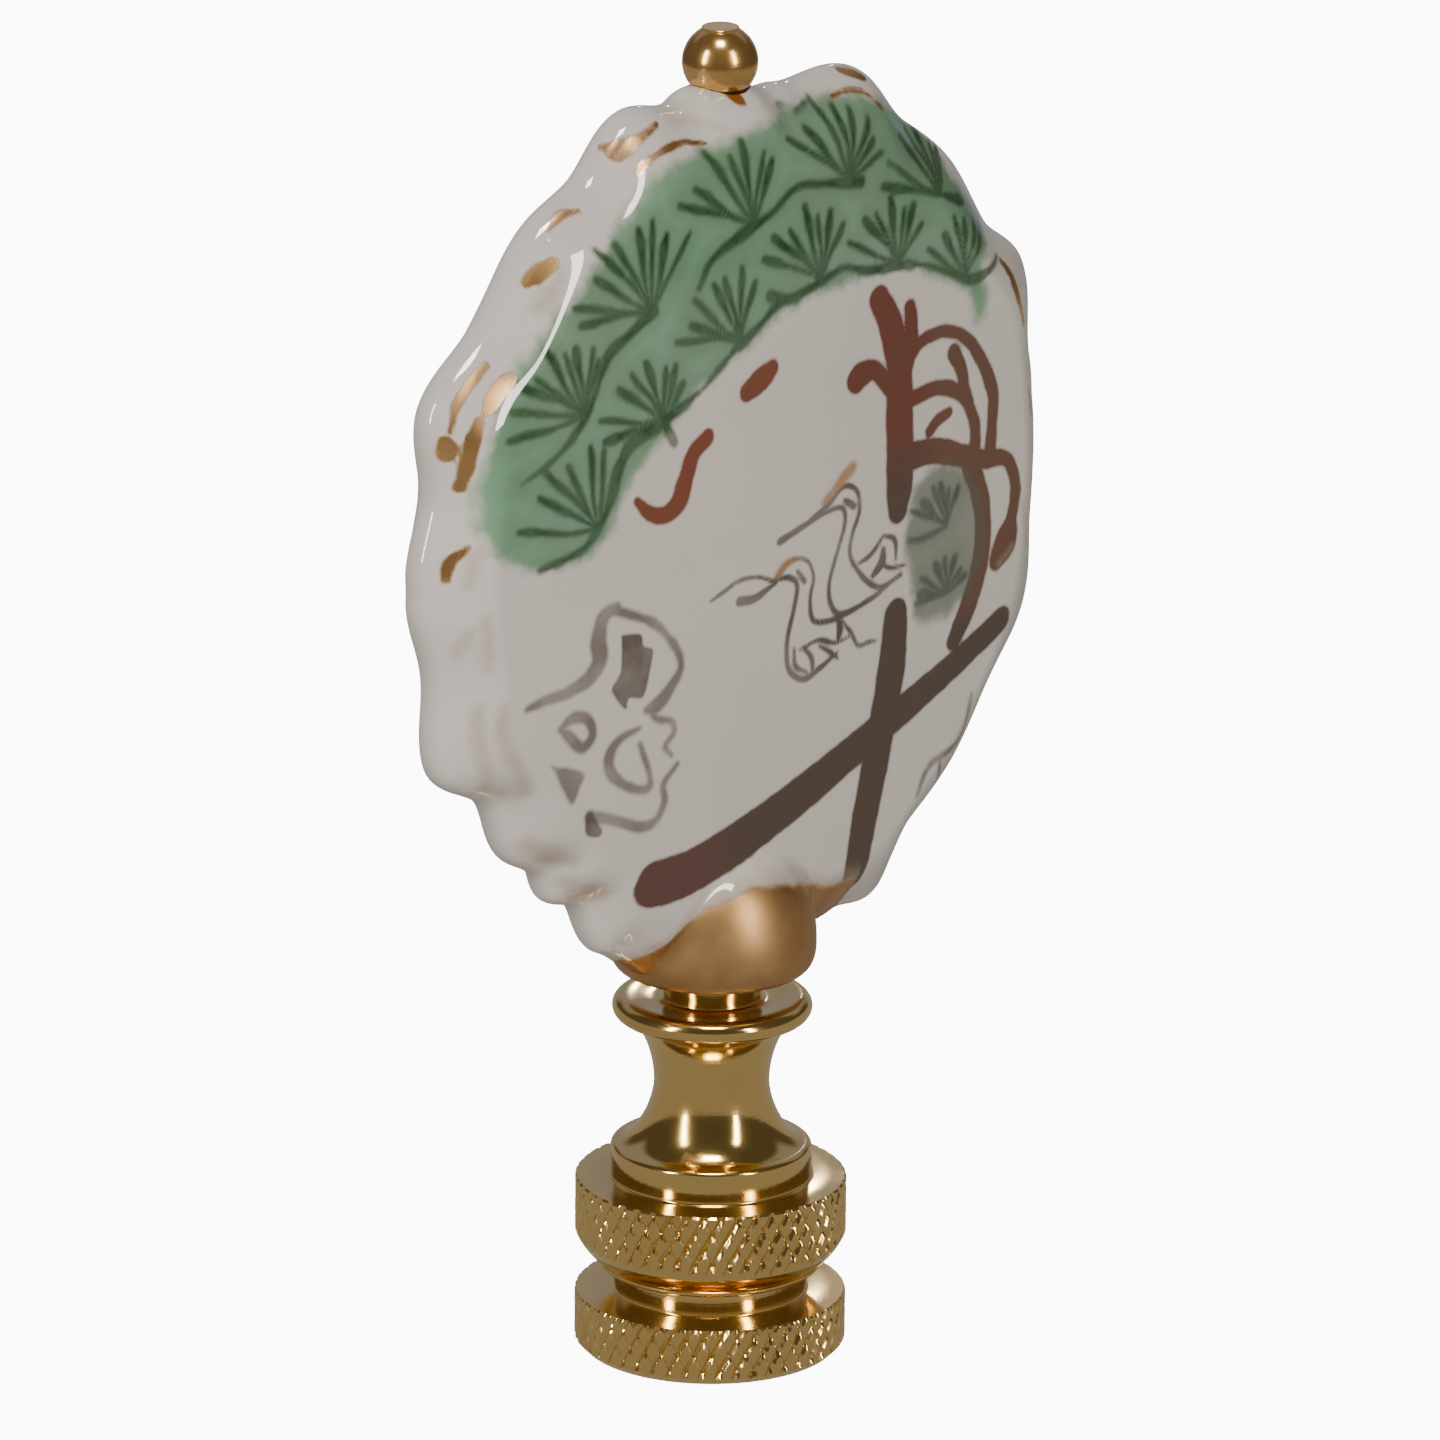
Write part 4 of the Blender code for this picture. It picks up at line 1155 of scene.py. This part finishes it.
ROCK_GREY = (0.125, 0.10, 0.088)
INK_BLACK = (0.075, 0.056, 0.046)
BILL_ORANGE = (0.33, 0.17, 0.07)
WORN_TAN = (0.33, 0.255, 0.20)
# painted shadow round the edge of the foot's gilding
GILT_EDGE_PAINTED_SHADOW = (0.34, 0.25, 0.17)
GILT = ((0.74, 0.44, 0.19), (0.56, 0.31, 0.12))
# painted dark reflection, which darkens the gilding of the foot
FOOT_PAINTED_DARK_REFLECTION = (0.24, 0.13, 0.05)


def crest_dashes():
    """Pairs of short gilt strokes for the back's border, one pair for each scallop."""
    strokes = []
    before = SCALLOPS[-1:] + SCALLOPS[:-1]
    after = SCALLOPS[1:] + SCALLOPS[:1]
    for (_, low), (turn, share), (_, fall) in zip(before, SCALLOPS, after):
        if share < max(low, fall) or abs(turn - 270) < BARE_ABOVE_FOOT:
            continue
        for inward, sweep, width in BACK_DASHES:
            radius = DISC_R * share - inward
            turns = [turn + inward + sweep * i for i in (-1, 0, 1)]
            strokes.append(stroke(width, *((radius * cos(radians(t)), radius * sin(radians(t)))
                                           for t in turns)))
    return strokes


def paint_front(spots):
    """Every paint on the front, as distance from its edge in millimetres."""
    coats = {name: np.full(len(spots), PAINT_REACH) for name in COATS}
    coats["wash"] = np.minimum(filled(spots, FOLIAGE), filled(spots, LOOP_FOLIAGE))
    for sizes in PINE_FANS:
        for needle in fan(*sizes):
            brush(coats["needles"], spots, needle)
    for name, strokes in (("needles", TWIGS), ("brown", TRUNK + BROWN_MARKS), ("ink", INK),
                          ("grey", ROCK), ("orange", ORANGE), ("gilt", GILT_DASHES),
                          ("tan", TAN_DASHES)):
        for way in strokes:
            brush(coats[name], spots, way)
    coats["ink"] = np.minimum(coats["ink"], filled(spots, DARK_ROCK))
    coats["grey"] = np.minimum(coats["grey"], filled(spots, GREY_ROCK))
    return coats


def paint_back(spots):
    """The plainer back: the border's gilt, and one small sprig of pine."""
    coats = {name: np.full(len(spots), PAINT_REACH) for name in COATS}
    for sizes in BACK_FANS:
        for needle in fan(*sizes):
            brush(coats["needles"], spots, needle)
    brush(coats["brown"], spots, BACK_TWIG)
    for way in crest_dashes():
        brush(coats["gilt"], spots, way)
    return coats


mesh = medallion.data
spots = np.empty(len(mesh.vertices) * 3)
mesh.vertices.foreach_get("co", spots)
spots = spots.reshape(-1, 3) / MM - (0, 0, disc_centre)
on_front = spots[:, 1] < 0
x, z = spots[:, 0], spots[:, 2]
coats = paint_front(spots[:, (0, 2)])
reverse = paint_back(spots[:, (0, 2)])
for name in COATS:
    coats[name] = np.where(on_front, coats[name], reverse[name])
gilt_line = np.interp(x, [p[0] for p in GILT_EDGE], [p[1] for p in GILT_EDGE])
coats["foot_gilt"] = np.where(np.abs(x) < GILT_HALF_WIDTH, z - gilt_line, PAINT_REACH)
for name, distance in coats.items():
    layer = mesh.attributes.new(name, "FLOAT", "POINT")
    layer.data.foreach_set("value", np.clip(distance, -PAINT_DEPTH, PAINT_REACH).astype(np.float32))


def painted_porcelain():
    """Glossy warm white glaze over brush strokes with soft edges, and worn gilding."""
    material = bpy.data.materials.new("painted_porcelain")
    material.use_nodes = True
    tree = material.node_tree
    shader = tree.nodes["Principled BSDF"]
    place = tree.nodes.new("ShaderNodeTexCoord").outputs["Object"]
    broad = noise(tree, place, 90.0, 3.0)
    patch = noise(tree, place, 330.0, 3.0)
    bristle = noise(tree, place, 1100.0, 3.0)
    axes = tree.nodes.new("ShaderNodeSeparateXYZ")
    tree.links.new(place, axes.inputs[0])

    def coat(name, soft, wobble, grow=0.0, strength=1.0):
        """How much of a paint lies at a point: its edge wavers and is softened."""
        layer = tree.nodes.new("ShaderNodeAttribute")
        layer.attribute_name = name
        shift = maths(tree, "MULTIPLY", maths(tree, "SUBTRACT", bristle, 0.5), wobble)
        value = maths(tree, "ADD", layer.outputs["Fac"], shift)
        return between(tree, value, grow - soft, grow + soft, strength, 0.0)

    def along(axis, low, high):
        """0 to 1 along an axis, between two places in millimetres from the disc's centre."""
        centre = disc_centre if axis == "Z" else 0.0
        return between(tree, axes.outputs[axis], (centre + low) * MM, (centre + high) * MM)

    def lay(colour, cover, paint):
        """A paint over what is there, as far as it covers it."""
        return blend(tree, cover, colour, paint)

    def times(first, *others):
        """The product of all that is given."""
        for value in others:
            first = maths(tree, "MULTIPLY", first, value)
        return first

    # The glaze, the mint wash and the pine needles on it
    in_loops = times(along("Z", -8.0, -5.0), along("Z", 2.2, 1.9))
    colour = blend(tree, between(tree, broad, 0.3, 0.7), *GLAZE)
    mint = lay(blend(tree, between(tree, patch, 0.35, 0.68), *MINT), in_loops, MINT_IN_LOOPS)
    wash = coat("wash", 0.45, 0.9)
    colour = lay(colour, times(wash, between(tree, broad, 0.3, 0.7, 0.84, 0.98)), mint)
    colour = lay(colour, times(coat("needles", 1.0, 0.5, 0.6, 0.62), wash), HALO_OF_NEEDLES)
    pine = lay(blend(tree, between(tree, patch, 0.35, 0.65), *PINE), in_loops, PINE_IN_LOOPS)
    load = between(tree, bristle, 0.3, 0.7, 0.72, 1.0)
    colour = lay(colour, times(coat("needles", 0.16, 0.34), load), pine)

    # The trunk and its loops, red above and brown below, and the cement under the ball
    brown = blend(tree, along("Z", 5.0, 0.0), TRUNK_RED, TRUNK_BROWN)
    brown = lay(brown, along("X", 0.0, -4.5), BRANCH_END)
    brown = lay(brown, times(along("X", 3.0, 2.0), along("Z", 1.0, 2.0)), LOOSE_STROKES)
    brown = lay(brown, times(along("X", 10.0, 12.0), along("Z", -7.0, -5.0)), LOOPS_BROWN)
    brown = lay(brown, between(tree, patch, 0.45, 0.75, 0.0, 0.4), THIN_BROWN)
    brown = lay(brown, times(wash, in_loops, 0.65), BROWN_OVER_MINT)
    brown = lay(brown, along("Z", 20.0, 20.6), CEMENT)
    colour = lay(colour, coat("brown", 0.11, 0.2), brown)

    # The rock, the cranes and the worn dashes of the border
    grey = times(coat("grey", 0.16, 0.2, 0.0, 0.95), between(tree, patch, 0.3, 0.7, 0.75, 1.0))
    colour = lay(colour, grey, ROCK_GREY)
    ink = times(coat("ink", 0.1, 0.1), between(tree, patch, 0.3, 0.7, 0.8, 1.0))
    colour = lay(colour, ink, INK_BLACK)
    colour = lay(colour, coat("orange", 0.2, 0.16, 0.0, 0.9), BILL_ORANGE)
    colour = lay(colour, coat("tan", 0.35, 0.5, 0.0, 0.5), WORN_TAN)

    # The gilding, which is worn on the border and thick on the foot, where a painted dark reflection
    # makes it darker
    # a painted shadow round the edge of the foot's gilding
    colour = lay(colour, coat("foot_gilt", 0.7, 0.8, 0.35, 0.75), GILT_EDGE_PAINTED_SHADOW)
    worn = between(tree, noise(tree, place, 700.0, 4.0), 0.25, 0.5, 0.55, 1.0)
    foot = coat("foot_gilt", 0.2, 0.5)
    gilt = maths(tree, "MAXIMUM", times(coat("gilt", 0.09, 0.28), worn), foot)
    colour = lay(colour, gilt, blend(tree, between(tree, patch, 0.35, 0.7), *GILT))
    # a painted dark reflection over the foot's gilding
    colour = lay(colour, times(foot, 0.3), FOOT_PAINTED_DARK_REFLECTION)
    tree.links.new(colour, shader.inputs["Base Color"])
    tree.links.new(times(gilt, 0.92), shader.inputs["Metallic"])
    rough = maths(tree, "ADD", between(tree, bristle, 0.3, 0.7, 0.035, 0.055), times(gilt, 0.24))
    rough = maths(tree, "ADD", rough, times(foot, 0.12))
    tree.links.new(rough, shader.inputs["Roughness"])
    shader.inputs["IOR"].default_value = 1.6
    shader.inputs["Specular IOR Level"].default_value = 0.7
    ripple = tree.nodes.new("ShaderNodeBump")
    ripple.inputs["Strength"].default_value = 0.2
    ripple.inputs["Distance"].default_value = 0.0001
    tree.links.new(noise(tree, place, 160.0, 2.0), ripple.inputs["Height"])
    tree.links.new(ripple.outputs[0], shader.inputs["Normal"])
    return material


mesh.materials.clear()
mesh.materials.append(painted_porcelain())
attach(medallion, "root")
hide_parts("porcelain_medallion")
